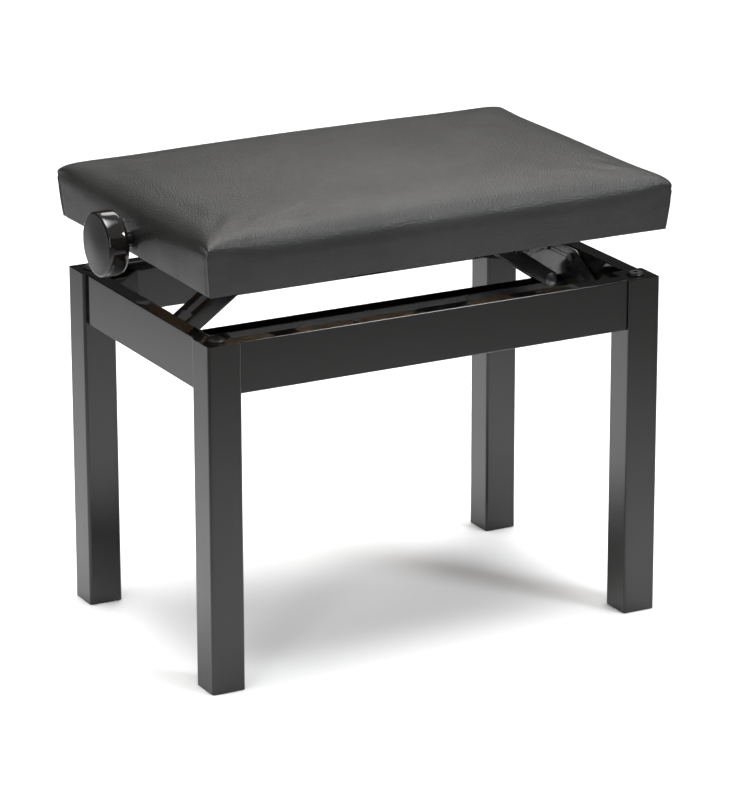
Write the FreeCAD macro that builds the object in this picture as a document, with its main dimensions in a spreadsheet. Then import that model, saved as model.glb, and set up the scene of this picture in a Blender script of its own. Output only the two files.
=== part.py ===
"""Height-adjustable piano bench: four-leg wooden frame, central double-arm lift, padded seat.

The frame carries a steel base channel between its end rails. Two pairs of lift arms are hinged
at the ends of the channel and rise towards the middle of the bench, where each pair carries a
nut. The nuts run on one spindle under the seat board, with a left-hand and a right-hand thread,
so that the knob draws them together or apart. A half-length link from the middle of each arm
pair to a bracket straight above the arm's hinge keeps the seat level and central.

X runs along the bench with the knob at its -X end, Y from front to back, Z up.
The origin is on the floor, in the middle of the four legs.
"""
import FreeCAD, Part
import os
import re
import Sketcher

# --- driving dimensions, in millimetres and degrees -------------------------------------------
SIZES = [
    # the wooden frame
    ("frame_length", 550, "over the legs, along X"),
    ("frame_width", 348, "over the legs, along Y"),
    ("frame_height", 387, "floor to the top of legs and rails"),
    ("leg_size", 39, "square section of a leg"),
    ("leg_round", 3, "rounding of a leg's long edges"),
    ("rail_height", 57, "depth of a rail"),
    ("rail_thickness", 18, "thickness of a rail"),
    ("rail_inset", 4, "step from a leg's outer face to a rail's"),
    ("rail_round", 1.5, "rounding of a rail's long edges"),
    ("dowel_radius", 4, "beech dowel between rail and leg"),
    ("dowel_length", 30, "half in the rail and half in the leg"),
    ("dowel_spread", 26, "distance between the two dowels of a joint"),
    ("block_reach", 35, "length of a corner block along each rail"),
    ("block_height", 40, "height of a corner block"),
    ("corner_bolt_radius", 3, "bolt through a corner block into the leg"),
    ("corner_bolt_length", 34, "under its head"),
    ("glide_radius", 11, "foot glide"),
    ("glide_thickness", 3, "foot glide"),
    ("glide_proud", 0.6, "how far a glide stands out of the leg"),
    ("top_bolt_radius", 4, "shank of the bolt in a leg's top"),
    ("top_bolt_length", 45, "shank of the bolt in a leg's top"),
    ("top_head_radius", 9.5, "domed head of that bolt"),
    ("top_head_height", 3.4, "domed head of that bolt"),
    ("socket_radius", 2.5, "hexagon socket in a bolt's head, across its corners"),
    ("hole_fit", 0.1, "radial clearance of a hole around a bolt or dowel"),
    # the base of the lift
    ("end_plate_thickness", 3, "steel plate inside each end rail"),
    ("end_plate_clearance", 2, "between its foot and the corner blocks"),
    ("end_plate_crown", 72, "its top edge, along Y"),
    ("end_plate_shoulder", 20, "height of its outer ends"),
    ("plate_margin", 2, "from the rail's edges to the plate"),
    ("base_screw_radius", 2, "screw of the end plate"),
    ("base_screw_length", 14, "screw of the end plate"),
    ("base_screw_head", 4.5, "radius of its domed head"),
    ("channel_width", 24.6, "base channel over its sides"),
    ("channel_height", 13, "base channel between its ears"),
    ("channel_sheet", 2.5, "base channel's sheet"),
    ("ear_radius", 9, "ear around a hinge pin"),
    # the lift
    ("pivot_inset", 23, "end rail's inner face to an arm's hinge"),
    ("pivot_drop", 37, "top of the frame to an arm's hinge"),
    ("arm_length", 193, "hinge to nut"),
    ("arm_angle", 35, "slope of an arm at rest"),
    ("arm_width", 18, "depth of an arm's profile"),
    ("arm_sheet", 4, "thickness of an arm"),
    ("arm_gap", 26, "between the two arms of a pair"),
    ("arm_flange", 6, "lip along an arm's top edge, turned inwards"),
    ("flange_sheet", 2.5, "thickness of that lip"),
    ("flange_start", 26, "hinge to the start of the lip"),
    ("flange_gap", 43, "end of the lip to the nut"),
    ("link_width", 16, "depth of a link"),
    ("link_sheet", 3, "thickness of a link"),
    ("link_spacer_place", 50, "link's upper pin to its spacer"),
    ("link_spacer_radius", 4, "tube between the two links of a pair"),
    ("side_clearance", 0.5, "between parts that swing past each other"),
    ("hinge_pin_radius", 5, "pin at the lower end of an arm"),
    ("middle_pin_radius", 4, "pin where an arm and a link cross"),
    ("link_pin_radius", 4, "pin at the upper end of a link"),
    ("spacer_radius", 6, "spacer between the arms of a pair"),
    ("rivet_head", 2.4, "height of a rivet's head"),
    ("rivet_rim", 2.2, "how far a rivet's head stands out around its pin"),
    ("running_fit", 0.05, "radial clearance of a turning pin"),
    # spindle, nuts and knob
    ("spindle_radius", 6, "spindle"),
    ("spindle_tail", 8, "end bearing to the spindle's plain end"),
    ("spindle_above_edge", 18, "seat's lower edge to the spindle"),
    ("nut_length", 26, "along the spindle"),
    ("nut_height", 22, "nut block"),
    ("trunnion_radius", 5, "stub on each side of a nut"),
    ("bearing_offset", 70, "right nut at rest to the end bearing"),
    ("bearing_width", 44, "bearing bracket along Y"),
    ("bearing_sheet", 4, "bearing bracket"),
    ("bearing_foot", 12, "bearing bracket along X"),
    ("bearing_drop", 12, "spindle to the bracket's lower edge"),
    ("clip_radius", 9, "ring that holds the spindle endways"),
    ("clip_thickness", 1, "ring that holds the spindle endways"),
    ("clip_clearance", 0.2, "between that ring and the bearing"),
    ("bush_radius", 9, "bush in the seat's side"),
    ("bush_flange_radius", 12, "its outer flange"),
    ("bush_flange", 1.6, "its outer flange"),
    ("collar_radius", 8.5, "collar behind the knob"),
    ("collar_length", 10, "collar behind the knob"),
    ("knob_radius", 35.5, "knob"),
    ("knob_rim", 11, "straight part of its rim, along X"),
    ("knob_dome", 6, "its domed face"),
    ("knob_back", 6, "from its neck's end to the rim"),
    ("knob_neck_radius", 9, "its neck"),
    ("knob_neck", 7, "its neck"),
    ("knob_round", 4.5, "rounding of the rim"),
    ("knob_bore_depth", 22, "how far the spindle reaches into the knob"),
    # the seat
    ("seat_overhang", 1, "cover past the frame at each end"),
    ("seat_overhang_side", 8.5, "cover past the frame at the front and back"),
    ("cover_thickness", 3.2, "cover and its thin wadding on the sides"),
    ("cover_hem", 1, "cover below the side boards"),
    ("side_board_height", 42, "seat box"),
    ("side_board_thickness", 12, "seat box"),
    ("board_thickness", 12, "plywood under the foam"),
    ("foam_height", 22.4, "at the crown"),
    ("foam_round", 16, "rounding of its top edges"),
    ("bumper_radius", 4.5, "rubber stop under a seat corner"),
    ("bumper_height", 3, "rubber stop"),
    ("bumper_inset", 9.2, "seat's outer face to a stop's middle, along X"),
    ("bumper_inset_side", 17.5, "the same along Y"),
    ("bracket_length", 32, "link bracket along X"),
    ("bracket_sheet", 3, "link bracket"),
    ("bracket_drop", 10, "spindle to the link bracket's lower edge"),
    ("screw_radius", 2, "screw into the seat board"),
    ("screw_length", 9, "in the board"),
    ("screw_head_radius", 4, "its head"),
    ("screw_head_height", 2, "its head"),
]

# --- places that follow from them ----------------------------------------------------------------
PLACES = {
    "half_length": "frame_length / 2",
    "half_width": "frame_width / 2",
    "block_step": "leg_size - rail_inset - rail_thickness",
    "block_depth": "(block_reach - block_step) * 0.70711",
    "leg_x": "half_length - leg_size / 2",
    "leg_y": "half_width - leg_size / 2",
    "rail_bottom": "frame_height - rail_height",
    "rail_inner_x": "half_length - rail_inset - rail_thickness",
    "rail_inner_y": "half_width - rail_inset - rail_thickness",
    "end_plate_length": "2 * (half_width - leg_size - block_reach - end_plate_clearance)",
    "pivot_x": "rail_inner_x - pivot_inset",
    "pivot_z": "frame_height - pivot_drop",
    "arm_reach": "arm_length * cos(arm_angle)",
    "arm_rise": "arm_length * sin(arm_angle)",
    "nut_x": "pivot_x - arm_reach",
    "flange_end": "arm_length - flange_gap",
    "bearing_place": "nut_x + bearing_offset",
    "spindle_end": "bearing_place + spindle_tail",
    "middle_x": "pivot_x - arm_reach / 2",
    "middle_z": "pivot_z + arm_rise / 2",
    "spindle_z": "pivot_z + arm_rise",
    "arm_inner": "arm_gap / 2",
    "arm_outer": "arm_gap / 2 + arm_sheet",
    "link_inner": "arm_outer + side_clearance",
    "link_outer": "link_inner + link_sheet",
    "ear_inner": "link_outer + side_clearance",
    "ear_outer": "ear_inner + bracket_sheet",
    "seat_length": "frame_length + 2 * seat_overhang",
    "seat_width": "frame_width + 2 * seat_overhang_side",
    "seat_bottom": "spindle_z - spindle_above_edge",
    "box_bottom": "seat_bottom + cover_hem",
    "board_bottom": "box_bottom + side_board_height",
    "board_top": "board_bottom + board_thickness",
    "box_half_length": "seat_length / 2 - cover_thickness",
    "box_half_width": "seat_width / 2 - cover_thickness",
    "channel_half_length": "rail_inner_x - end_plate_thickness",
    "seat_side_x": "seat_length / 2",
    "bearing_left_x": "side_board_thickness + bearing_sheet - box_half_length",
    "collar_start": "seat_side_x + bush_flange + side_clearance",
    "knob_start": "collar_start + collar_length",
    "knob_end": "knob_start + knob_neck + knob_back + knob_rim + knob_dome",
}

UPRIGHT = "rotation(vector(0; 0; 1); 0)"
ALONG_X = "rotation(vector(1; 1; 1); 120)"     # sketch x to Y, y to Z, pad along X
ALONG_Y = "rotation(vector(1; 0; 0); 90)"      # sketch x to X, y to Z, pad towards -Y
TO_PLUS_Y = "rotation(vector(1; 0; 0); -90)"
TO_PLUS_X = "rotation(vector(0; 1; 0); 90)"
SIDES = {"left": "-1", "right": "1"}
FACES = {"front": "-1", "back": "1"}

doc = FreeCAD.newDocument("piano_bench")
dims = doc.addObject("Spreadsheet::Sheet", "dims")
for row, (alias, value, note) in enumerate(SIZES, 1):
    dims.set(f"A{row}", alias)
    dims.set(f"B{row}", str(value))
    dims.set(f"C{row}", note)
    dims.setAlias(f"B{row}", alias)
doc.recompute()
ALIASES = {alias for alias, _, _ in SIZES}
pieces = []


# --- helpers -----------------------------------------------------------------------------------
def expand(text):
    """Turn names of sizes and places into an expression on the sheet."""
    def swap(match):
        word = match.group()
        if word in PLACES:
            return "(" + expand(PLACES[word]) + ")"
        return "dims." + word if word in ALIASES else word
    return re.sub(r"[a-z][a-z_]*", swap, str(text))


def number(text):
    return float(dims.evalExpression(expand(text)))


def bind(thing, prop, text):
    thing.setExpression(prop, expand(text))


def place(thing, x, y, z, turn=UPRIGHT):
    bind(thing, "Placement", f"placement(vector({x}; {y}; {z}); {turn})")
    return thing


def box(name, length, width, height, x, y, z):
    """A block from its low corner."""
    block = doc.addObject("Part::Box", name)
    for prop, text in (("Length", length), ("Width", width), ("Height", height)):
        bind(block, prop, text)
    return place(block, x, y, z)


def rod(name, radius, length, x, y, z, turn=UPRIGHT):
    bar = doc.addObject("Part::Cylinder", name)
    bind(bar, "Radius", radius)
    bind(bar, "Height", length)
    return place(bar, x, y, z, turn)


def group(name, members):
    bundle = doc.addObject("Part::Compound", name)
    bundle.Links = members
    return bundle


def fuse(name, members):
    joined = doc.addObject("Part::MultiFuse", name)
    joined.Shapes = members
    return joined


def cut(name, base, tools):
    result = doc.addObject("Part::Cut", name)
    result.Base = base
    result.Tool = tools[0] if len(tools) == 1 else group(name + "_tools", tools)
    return result


def keep(name, thing):
    """Register a finished piece under the name of its file."""
    thing.Label = name
    pieces.append(thing)
    return thing


def fix_point(sketch, curve, point, x, y):
    """Tie one point of a sketch to the sheet."""
    for text, kind, axis in ((x, "DistanceX", -2), (y, "DistanceY", -1)):
        if text == "0":
            sketch.addConstraint(Sketcher.Constraint("PointOnObject", curve, point, axis))
        else:
            rule = Sketcher.Constraint(kind, -1, 1, curve, point, number(text))
            index = sketch.addConstraint(rule)
            sketch.setExpression(f"Constraints[{index}]", expand(text))


def fix_radius(sketch, curve, radius):
    index = sketch.addConstraint(Sketcher.Constraint("Radius", curve, number(radius)))
    sketch.setExpression(f"Constraints[{index}]", expand(radius))


def polygon(sketch, points):
    corners = [FreeCAD.Vector(number(x), number(y), 0) for x, y in points]
    first, count = sketch.GeometryCount, len(corners)
    for index in range(count):
        line = Part.LineSegment(corners[index], corners[(index + 1) % count])
        sketch.addGeometry(line, False)
    for index, (x, y) in enumerate(points):
        after = first + (index + 1) % count
        sketch.addConstraint(Sketcher.Constraint("Coincident", first + index, 2, after, 1))
    for index, (x, y) in enumerate(points):
        fix_point(sketch, first + index, 1, x, y)


def rectangle(sketch, low_x, low_y, high_x, high_y):
    polygon(sketch, [(low_x, low_y), (high_x, low_y), (high_x, high_y), (low_x, high_y)])


def circle(sketch, x, y, radius):
    centre = FreeCAD.Vector(number(x), number(y), 0)
    ring = Part.Circle(centre, FreeCAD.Vector(0, 0, 1), number(radius))
    curve = sketch.addGeometry(ring, False)
    fix_radius(sketch, curve, radius)
    fix_point(sketch, curve, 3, x, y)


def round_bar(sketch, length, radius):
    """A bar's outline with round ends about its two end holes."""
    span, half = number(length), number(radius)
    up = FreeCAD.Vector(0, 0, 1)
    near = Part.Circle(FreeCAD.Vector(0, 0, 0), up, half)
    far = Part.Circle(FreeCAD.Vector(span, 0, 0), up, half)
    quarter = 1.5707963267948966
    start = sketch.addGeometry(Part.ArcOfCircle(near, quarter, 3 * quarter), False)
    end = sketch.addGeometry(Part.ArcOfCircle(far, -quarter, quarter), False)
    low = sketch.addGeometry(
        Part.LineSegment(FreeCAD.Vector(0, -half, 0), FreeCAD.Vector(span, -half, 0)), False)
    top = sketch.addGeometry(
        Part.LineSegment(FreeCAD.Vector(span, half, 0), FreeCAD.Vector(0, half, 0)), False)
    for one, two in (((start, 2), (low, 1)), ((low, 2), (end, 1)),
                     ((end, 2), (top, 1)), ((top, 2), (start, 1))):
        sketch.addConstraint(Sketcher.Constraint("Tangent", *one, *two))
    sketch.addConstraint(Sketcher.Constraint("Equal", start, end))
    fix_radius(sketch, start, radius)
    sketch.addConstraint(Sketcher.Constraint("Coincident", start, 3, -1, 1))
    fix_point(sketch, end, 3, length, "0")


def new_body(name):
    return doc.addObject("PartDesign::Body", name)


def new_sketch(body, name):
    """A sketch on its own body's XY plane."""
    sketch = body.newObject("Sketcher::SketchObject", name)
    plane = next(p for p in body.Origin.OriginFeatures if p.Role == "XY_Plane")
    sketch.AttachmentSupport = (plane, [""])
    sketch.MapMode = "FlatFace"
    return sketch


def pad(body, sketch, length, backwards=False):
    feature = body.newObject("PartDesign::Pad", sketch.Name + "_pad")
    feature.Profile = sketch
    feature.Reversed = backwards
    bind(feature, "Length", length)
    doc.recompute()
    return feature


def revolve(body, sketch):
    """Turn a half section, drawn above the sketch's X axis, about that axis."""
    feature = body.newObject("PartDesign::Revolution", sketch.Name + "_turned")
    feature.Profile = sketch
    feature.ReferenceAxis = (sketch, ["H_Axis"])
    feature.Angle = 360
    doc.recompute()
    return feature


def round_edges(body, feature, radius, wanted):
    """Round the edges of a feature that the test picks."""
    names = [f"Edge{i}" for i, edge in enumerate(feature.Shape.Edges, 1) if wanted(edge)]
    rounding = body.newObject("PartDesign::Fillet", feature.Name + "_round")
    rounding.Base = (feature, names)
    bind(rounding, "Radius", radius)
    doc.recompute()
    return rounding


def runs_along_pad(edge):
    direction = edge.Vertexes[-1].Point - edge.Vertexes[0].Point
    return edge.Curve.TypeId == "Part::GeomLine" and abs(direction.z) > 0.999 * direction.Length


def bar_stock(name, low_x, low_y, high_x, high_y, length, radius):
    """A straight length of rectangular stock with rounded long edges."""
    body = new_body(name)
    sketch = new_sketch(body, name + "_section")
    rectangle(sketch, low_x, low_y, high_x, high_y)
    round_edges(body, pad(body, sketch, length), radius, runs_along_pad)
    return body


# --- the wooden frame ------------------------------------------------------------------------------
def dowels(radius, length, tag):
    """Two dowels in each joint between a rail and a leg."""
    rods = []
    middle = "frame_height - rail_height / 2"
    for side, sx in SIDES.items():
        for face, sy in FACES.items():
            for step in ("-1", "1"):
                z = f"{middle} + {step} * dowel_spread / 2"
                name = f"{tag}_{side}_{face}_{'low' if step == '-1' else 'high'}"
                rods.append(rod(
                    name + "_long", radius, length,
                    f"{sx} * (half_length - leg_size) - ({length}) / 2",
                    f"{sy} * (rail_inner_y + rail_thickness / 2)", z, TO_PLUS_X))
                rods.append(rod(
                    name + "_short", radius, length,
                    f"{sx} * (rail_inner_x + rail_thickness / 2)",
                    f"{sy} * (half_width - leg_size) - ({length}) / 2", z, TO_PLUS_Y))
    return rods


def corner_bolt(name, radius, length, side, face, start):
    """A rod along the diagonal of a corner, from outside its block into the leg.

    start is the distance from the leg's inner corner, along the diagonal, to the rod's inner end.
    """
    sx, sy = SIDES[side], FACES[face]
    angle = {"left_front": 45, "left_back": -45, "right_front": 135, "right_back": -135}
    turn = f"rotation(vector(0; 0; 1); {angle[side + '_' + face]}) * {TO_PLUS_X}"
    return rod(name, radius, length,
               f"{sx} * (half_length - leg_size - ({start}) * 0.70711)",
               f"{sy} * (half_width - leg_size - ({start}) * 0.70711)",
               "frame_height - rail_height / 2", turn)


def legs():
    holes = dowels("dowel_radius + hole_fit", "dowel_length + 2 * hole_fit", "dowel_hole")
    for side, sx in SIDES.items():
        for face, sy in FACES.items():
            name = f"leg_{face}_{side}"
            body = bar_stock(name + "_stock", "-leg_size / 2", "-leg_size / 2",
                             "leg_size / 2", "leg_size / 2", "frame_height - glide_proud", "leg_round")
            place(body, f"{sx} * leg_x", f"{sy} * leg_y", "glide_proud")
            own_holes = [hole for hole in holes if f"_{side}_{face}_" in hole.Name]
            own_holes.append(rod(
                name + "_bolt_hole", "top_bolt_radius + hole_fit", "top_bolt_length + hole_fit",
                f"{sx} * leg_x", f"{sy} * leg_y", "frame_height - top_bolt_length - hole_fit"))
            own_holes.append(rod(
                name + "_glide_seat", "glide_radius + hole_fit", "glide_thickness - glide_proud",
                f"{sx} * leg_x", f"{sy} * leg_y", "glide_proud"))
            own_holes.append(corner_bolt(
                name + "_corner_hole", "corner_bolt_radius + hole_fit",
                "corner_bolt_length + hole_fit", side, face,
                "block_depth - corner_bolt_length - hole_fit"))
            keep(name, cut(name + "_drilled", body, own_holes))


def rails():
    holes = dowels("dowel_radius + hole_fit", "dowel_length + 2 * hole_fit", "rail_dowel_hole")
    for face, sy in FACES.items():
        name = face + "_rail"
        body = bar_stock(name + "_stock", "-rail_thickness / 2", "0", "rail_thickness / 2",
                         "rail_height", "frame_length - 2 * leg_size", "rail_round")
        place(body, "leg_size - half_length", f"{sy} * (rail_inner_y + rail_thickness / 2)",
              "rail_bottom", ALONG_X)
        own = [hole for hole in holes if f"_{face}_" in hole.Name and hole.Name.endswith("_long")]
        keep(name, cut(name + "_drilled", body, own))
    for side, sx in SIDES.items():
        name = side + "_rail"
        body = bar_stock(name + "_stock", "-rail_thickness / 2", "0", "rail_thickness / 2",
                         "rail_height", "frame_width - 2 * leg_size", "rail_round")
        place(body, f"{sx} * (rail_inner_x + rail_thickness / 2)", "half_width - leg_size",
              "rail_bottom", ALONG_Y)
        own = [hole for hole in holes if f"_{side}_" in hole.Name and hole.Name.endswith("_short")]
        own += [rod(f"{name}_screw_hole_{i}", "base_screw_radius + hole_fit", "base_screw_length",
                    x, y, z, turn) for i, (x, y, z, turn) in enumerate(end_screw_places(sx))]
        keep(name, cut(name + "_drilled", body, own))


def end_screw_places(sx):
    """Where the four screws of an end plate enter the rail, and their direction."""
    turn = TO_PLUS_X if sx == "1" else "rotation(vector(0; 1; 0); -90)"
    low = "rail_bottom + plate_margin + end_plate_shoulder / 2"
    high = "frame_height - plate_margin - end_plate_shoulder / 2"
    return [(f"{sx} * rail_inner_x", f"{sy} * ({along})", z, turn)
            for sy in FACES.values()
            for along, z in (("end_plate_length / 2 - end_plate_shoulder / 2", low),
                             ("end_plate_crown / 2 - end_plate_shoulder / 2", high))]


def corner_blocks():
    """Five-sided blocks that fill the corner between two rails around a leg's inner corner."""
    outline = [("0", "-1 * block_step"), ("block_reach", "-1 * block_step"),
               ("-1 * block_step", "block_reach"), ("-1 * block_step", "0"), ("0", "0")]
    for side, sx in SIDES.items():
        for face, sy in FACES.items():
            name = f"corner_block_{face}_{side}"
            body = new_body(name + "_stock")
            sketch = new_sketch(body, name + "_outline")
            polygon(sketch, [(x if x == "0" else f"-1 * {sx} * ({x})",
                              y if y == "0" else f"-1 * {sy} * ({y})") for x, y in outline])
            pad(body, sketch, "block_height")
            place(body, f"{sx} * (half_length - leg_size)", f"{sy} * (half_width - leg_size)",
                  "frame_height - (rail_height + block_height) / 2")
            hole = corner_bolt(name + "_hole", "corner_bolt_radius + hole_fit",
                               "corner_bolt_length + 2 * hole_fit", side, face,
                               "block_depth - corner_bolt_length - hole_fit")
            keep(name, cut(name + "_drilled", body, [hole]))


def frame_hardware():
    """Dowels, corner bolts, the domed bolts in the leg tops and the foot glides."""
    keep("rail_dowels", group("dowel_set", dowels("dowel_radius", "dowel_length", "dowel")))

    bolts, tops, glides = [], [], []
    for side, sx in SIDES.items():
        for face, sy in FACES.items():
            name = f"{face}_{side}"
            shank = corner_bolt(f"corner_shank_{name}", "corner_bolt_radius",
                                "corner_bolt_length + corner_bolt_radius / 2", side, face,
                                "block_depth - corner_bolt_length")
            head = corner_bolt(f"corner_head_{name}", "2 * corner_bolt_radius",
                               "corner_bolt_radius", side, face, "block_depth")
            bolts.append(fuse(f"corner_bolt_{name}", [shank, head]))
            tops.append(domed_bolt(
                f"top_bolt_{name}", "top_bolt_radius", "top_bolt_length", "top_head_radius",
                "top_head_height", f"{sx} * leg_x", f"{sy} * leg_y", "frame_height", UPRIGHT))
            glides.append(rod(f"glide_{name}", "glide_radius", "glide_thickness",
                              f"{sx} * leg_x", f"{sy} * leg_y", "0"))
    keep("corner_bolts", group("corner_bolt_set", bolts))
    keep("leg_top_bolts", group("top_bolt_set", tops))
    keep("foot_glides", group("glide_set", glides))


def domed_bolt(name, shank_radius, shank_length, head_radius, head_height, x, y, z, turn):
    """A round-headed bolt: its head stands on z = 0 before it is placed, its shank below."""
    body = new_body(name)
    sketch = new_sketch(body, name + "_section")
    rim = f"({head_height}) * 0.35"
    polygon(sketch, [(f"-1 * ({shank_length})", "0"), (f"-1 * ({shank_length})", shank_radius),
                     ("0", shank_radius), ("0", head_radius), (rim, head_radius),
                     (f"({head_height}) * 0.8", f"({head_radius}) * 0.72"),
                     (head_height, "socket_radius"),
                     (f"({head_height}) * 0.3", "socket_radius"), (f"({head_height}) * 0.3", "0")])
    revolve(body, sketch)
    return place(body, x, y, z, f"{turn} * rotation(vector(0; 1; 0); -90)")


# --- the base of the lift --------------------------------------------------------------------------
def end_plates():
    for side, sx in SIDES.items():
        name = side + "_end_plate"
        body = new_body(name + "_sheet")
        sketch = new_sketch(body, name + "_outline")
        foot, crown = "end_plate_length / 2", "end_plate_crown / 2"
        top = "rail_height - 2 * plate_margin"
        polygon(sketch, [(f"-1 * {foot}", "0"), (foot, "0"), (foot, "end_plate_shoulder"),
                         (crown, top), (f"-1 * {crown}", top), (f"-1 * {foot}", "end_plate_shoulder")])
        pad(body, sketch, "end_plate_thickness")
        x = "channel_half_length" if sx == "1" else "-1 * rail_inner_x"
        place(body, x, "0", "rail_bottom + plate_margin", ALONG_X)
        holes = [rod(f"{name}_hole_{i}", "base_screw_radius + hole_fit", "3 * end_plate_thickness",
                     f"{sx} * (rail_inner_x - 2 * end_plate_thickness)", y, z, turn)
                 for i, (_, y, z, turn) in enumerate(end_screw_places(sx))]
        keep(name, cut(name + "_drilled", body, holes))


def end_screws():
    screws = []
    for side, sx in SIDES.items():
        for i, (_, y, z, turn) in enumerate(end_screw_places(sx)):
            name = f"end_screw_{side}_{i}"
            inner = f"{sx} * channel_half_length"
            shank = rod(name + "_shank", "base_screw_radius",
                        "base_screw_length - hole_fit", inner, y, z, turn)
            head = rod(name + "_head", "base_screw_head", "base_screw_radius",
                       f"{sx} * (channel_half_length - base_screw_radius)", y, z, turn)
            screws.append(fuse(name, [shank, head]))
    keep("end_plate_screws", group("end_screw_set", screws))


def base_channel():
    """A steel channel, open at the top, with a raised pair of ears at each hinge."""
    inner = "channel_width / 2 - channel_sheet"
    web = box("channel_web", "2 * channel_half_length", "channel_width", "channel_sheet",
              "-1 * channel_half_length", "-1 * channel_width / 2", "rail_bottom + plate_margin")
    members = [web]
    for face, sy in FACES.items():
        low_y = f"{sy} * (channel_width - channel_sheet) / 2 - channel_sheet / 2"
        members.append(box(f"channel_side_{face}", "2 * channel_half_length", "channel_sheet",
                           "channel_height", "-1 * channel_half_length", low_y,
                           "rail_bottom + plate_margin"))
        for side, sx in SIDES.items():
            name = f"channel_ear_{face}_{side}"
            members.append(box(name + "_foot", "2 * ear_radius", "channel_sheet",
                               "pivot_z - rail_bottom - plate_margin",
                               f"{sx} * pivot_x - ear_radius", low_y, "rail_bottom + plate_margin"))
            members.append(rod(name + "_top", "ear_radius", "channel_sheet", f"{sx} * pivot_x",
                               low_y, "pivot_z", TO_PLUS_Y))
    holes = [rod(f"channel_pin_hole_{side}", "hinge_pin_radius", "2 * channel_width",
                 f"{sx} * pivot_x", "-1 * channel_width", "pivot_z", TO_PLUS_Y)
             for side, sx in SIDES.items()]
    keep("base_channel", cut("channel_drilled", fuse("channel_blank", members), holes))


def rivet(name, radius, half_span, x, z, middle_radius="", middle_half=""):
    """A pin along Y with a domed head at each end, and a thicker spacer in the middle if named."""
    body = new_body(name)
    sketch = new_sketch(body, name + "_section")
    rim = f"({radius}) + rivet_rim"
    face, back = f"({half_span})", f"-1 * ({half_span})"
    end, other_end = f"{face} + rivet_head", f"{back} - rivet_head"
    bevel, other_bevel = f"{face} + rivet_head * 0.4", f"{back} - rivet_head * 0.4"
    points = [(other_end, "0"), (other_end, f"({radius}) * 0.6"), (other_bevel, rim), (back, rim),
              (back, radius)]
    if middle_radius:
        points += [(f"-1 * ({middle_half})", radius), (f"-1 * ({middle_half})", middle_radius),
                   (middle_half, middle_radius), (middle_half, radius)]
    points += [(face, radius), (face, rim), (bevel, rim), (end, f"({radius}) * 0.6"), (end, "0")]
    polygon(sketch, points)
    revolve(body, sketch)
    place(body, x, "0", z, "rotation(vector(0; 0; 1); 90)")
    return keep(name, body)


# --- the lift ----------------------------------------------------------------------------------------
def lift_turn(sx, angle):
    """Lay a bar's own X along a slope towards the middle of the bench, its own Y upwards.

    A bar on the right is turned over, so its own Y points down.
    """
    slope = f"-1 * ({angle})" if sx == "-1" else f"({angle}) - 180"
    return f"rotation(vector(0; 1; 0); {slope}) * {ALONG_Y}"


def arms():
    """Two arms to a pair: a flat bar with an inward lip along its top edge."""
    for side, sx in SIDES.items():
        turn = lift_turn(sx, "arm_angle")
        up = "1" if sx == "-1" else "-1"
        for face, sy in FACES.items():
            name = f"{side}_arm_{face}"
            body = new_body(name)
            sketch = new_sketch(body, name + "_outline")
            round_bar(sketch, "arm_length", "arm_width / 2")
            circle(sketch, "0", "0", "hinge_pin_radius + running_fit")
            circle(sketch, "arm_length / 2", "0", "middle_pin_radius + running_fit")
            circle(sketch, "arm_length", "0", "trunnion_radius + running_fit")
            pad(body, sketch, "arm_sheet")
            lip = new_sketch(body, name + "_lip")
            edge, root = f"{up} * arm_width / 2", f"{up} * (arm_width / 2 - flange_sheet)"
            low, high = (root, edge) if up == "1" else (edge, root)
            rectangle(lip, "flange_start", low, "flange_end", high)
            inwards_is_pad = sy == "1"
            depth = "arm_sheet + arm_flange" if inwards_is_pad else "arm_flange"
            pad(body, lip, depth, backwards=not inwards_is_pad)
            y = "arm_outer" if sy == "1" else "-1 * arm_inner"
            keep(name, place(body, f"{sx} * pivot_x", y, "pivot_z", turn))
        rivet(f"{side}_middle_pin", "middle_pin_radius", "link_outer + running_fit",
              f"{sx} * middle_x", "middle_z", "spacer_radius", "arm_inner")
        rivet(f"{side}_hinge_pin", "hinge_pin_radius", "arm_outer + running_fit",
              f"{sx} * pivot_x", "pivot_z")


def links():
    """Half-length links, from a bracket above the arm's hinge down to the arm's middle pin."""
    for side, sx in SIDES.items():
        turn = lift_turn(sx, "-1 * arm_angle")
        for face, sy in FACES.items():
            name = f"{side}_link_{face}"
            body = new_body(name)
            sketch = new_sketch(body, name + "_outline")
            round_bar(sketch, "arm_length / 2", "link_width / 2")
            circle(sketch, "0", "0", "link_pin_radius + running_fit")
            circle(sketch, "arm_length / 2", "0", "middle_pin_radius + running_fit")
            pad(body, sketch, "link_sheet")
            y = "link_outer" if sy == "1" else "-1 * link_inner"
            keep(name, place(body, f"{sx} * pivot_x", y, "spindle_z", turn))
        reach = "pivot_x - link_spacer_place * cos(arm_angle)"
        drop = "spindle_z - link_spacer_place * sin(arm_angle)"
        keep(f"{side}_link_spacer", rod(
            f"{side}_link_tube", "link_spacer_radius", "2 * link_inner", f"{sx} * ({reach})",
            "-1 * link_inner", drop, TO_PLUS_Y))


def nuts():
    for side, sx in SIDES.items():
        block = box(f"{side}_nut_block", "nut_length", "arm_gap - 2 * side_clearance", "nut_height",
                    f"{sx} * nut_x - nut_length / 2", "side_clearance - arm_inner",
                    "spindle_z - nut_height / 2")
        stubs = rod(f"{side}_trunnions", "trunnion_radius", "2 * link_inner - side_clearance",
                    f"{sx} * nut_x", "side_clearance / 2 - link_inner", "spindle_z", TO_PLUS_Y)
        bore = rod(f"{side}_nut_bore", "spindle_radius + running_fit", "2 * nut_length",
                   f"{sx} * nut_x - nut_length", "0", "spindle_z", TO_PLUS_X)
        keep(f"{side}_nut", cut(f"{side}_nut_bored", fuse(f"{side}_nut_blank", [block, stubs]), [bore]))


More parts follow.
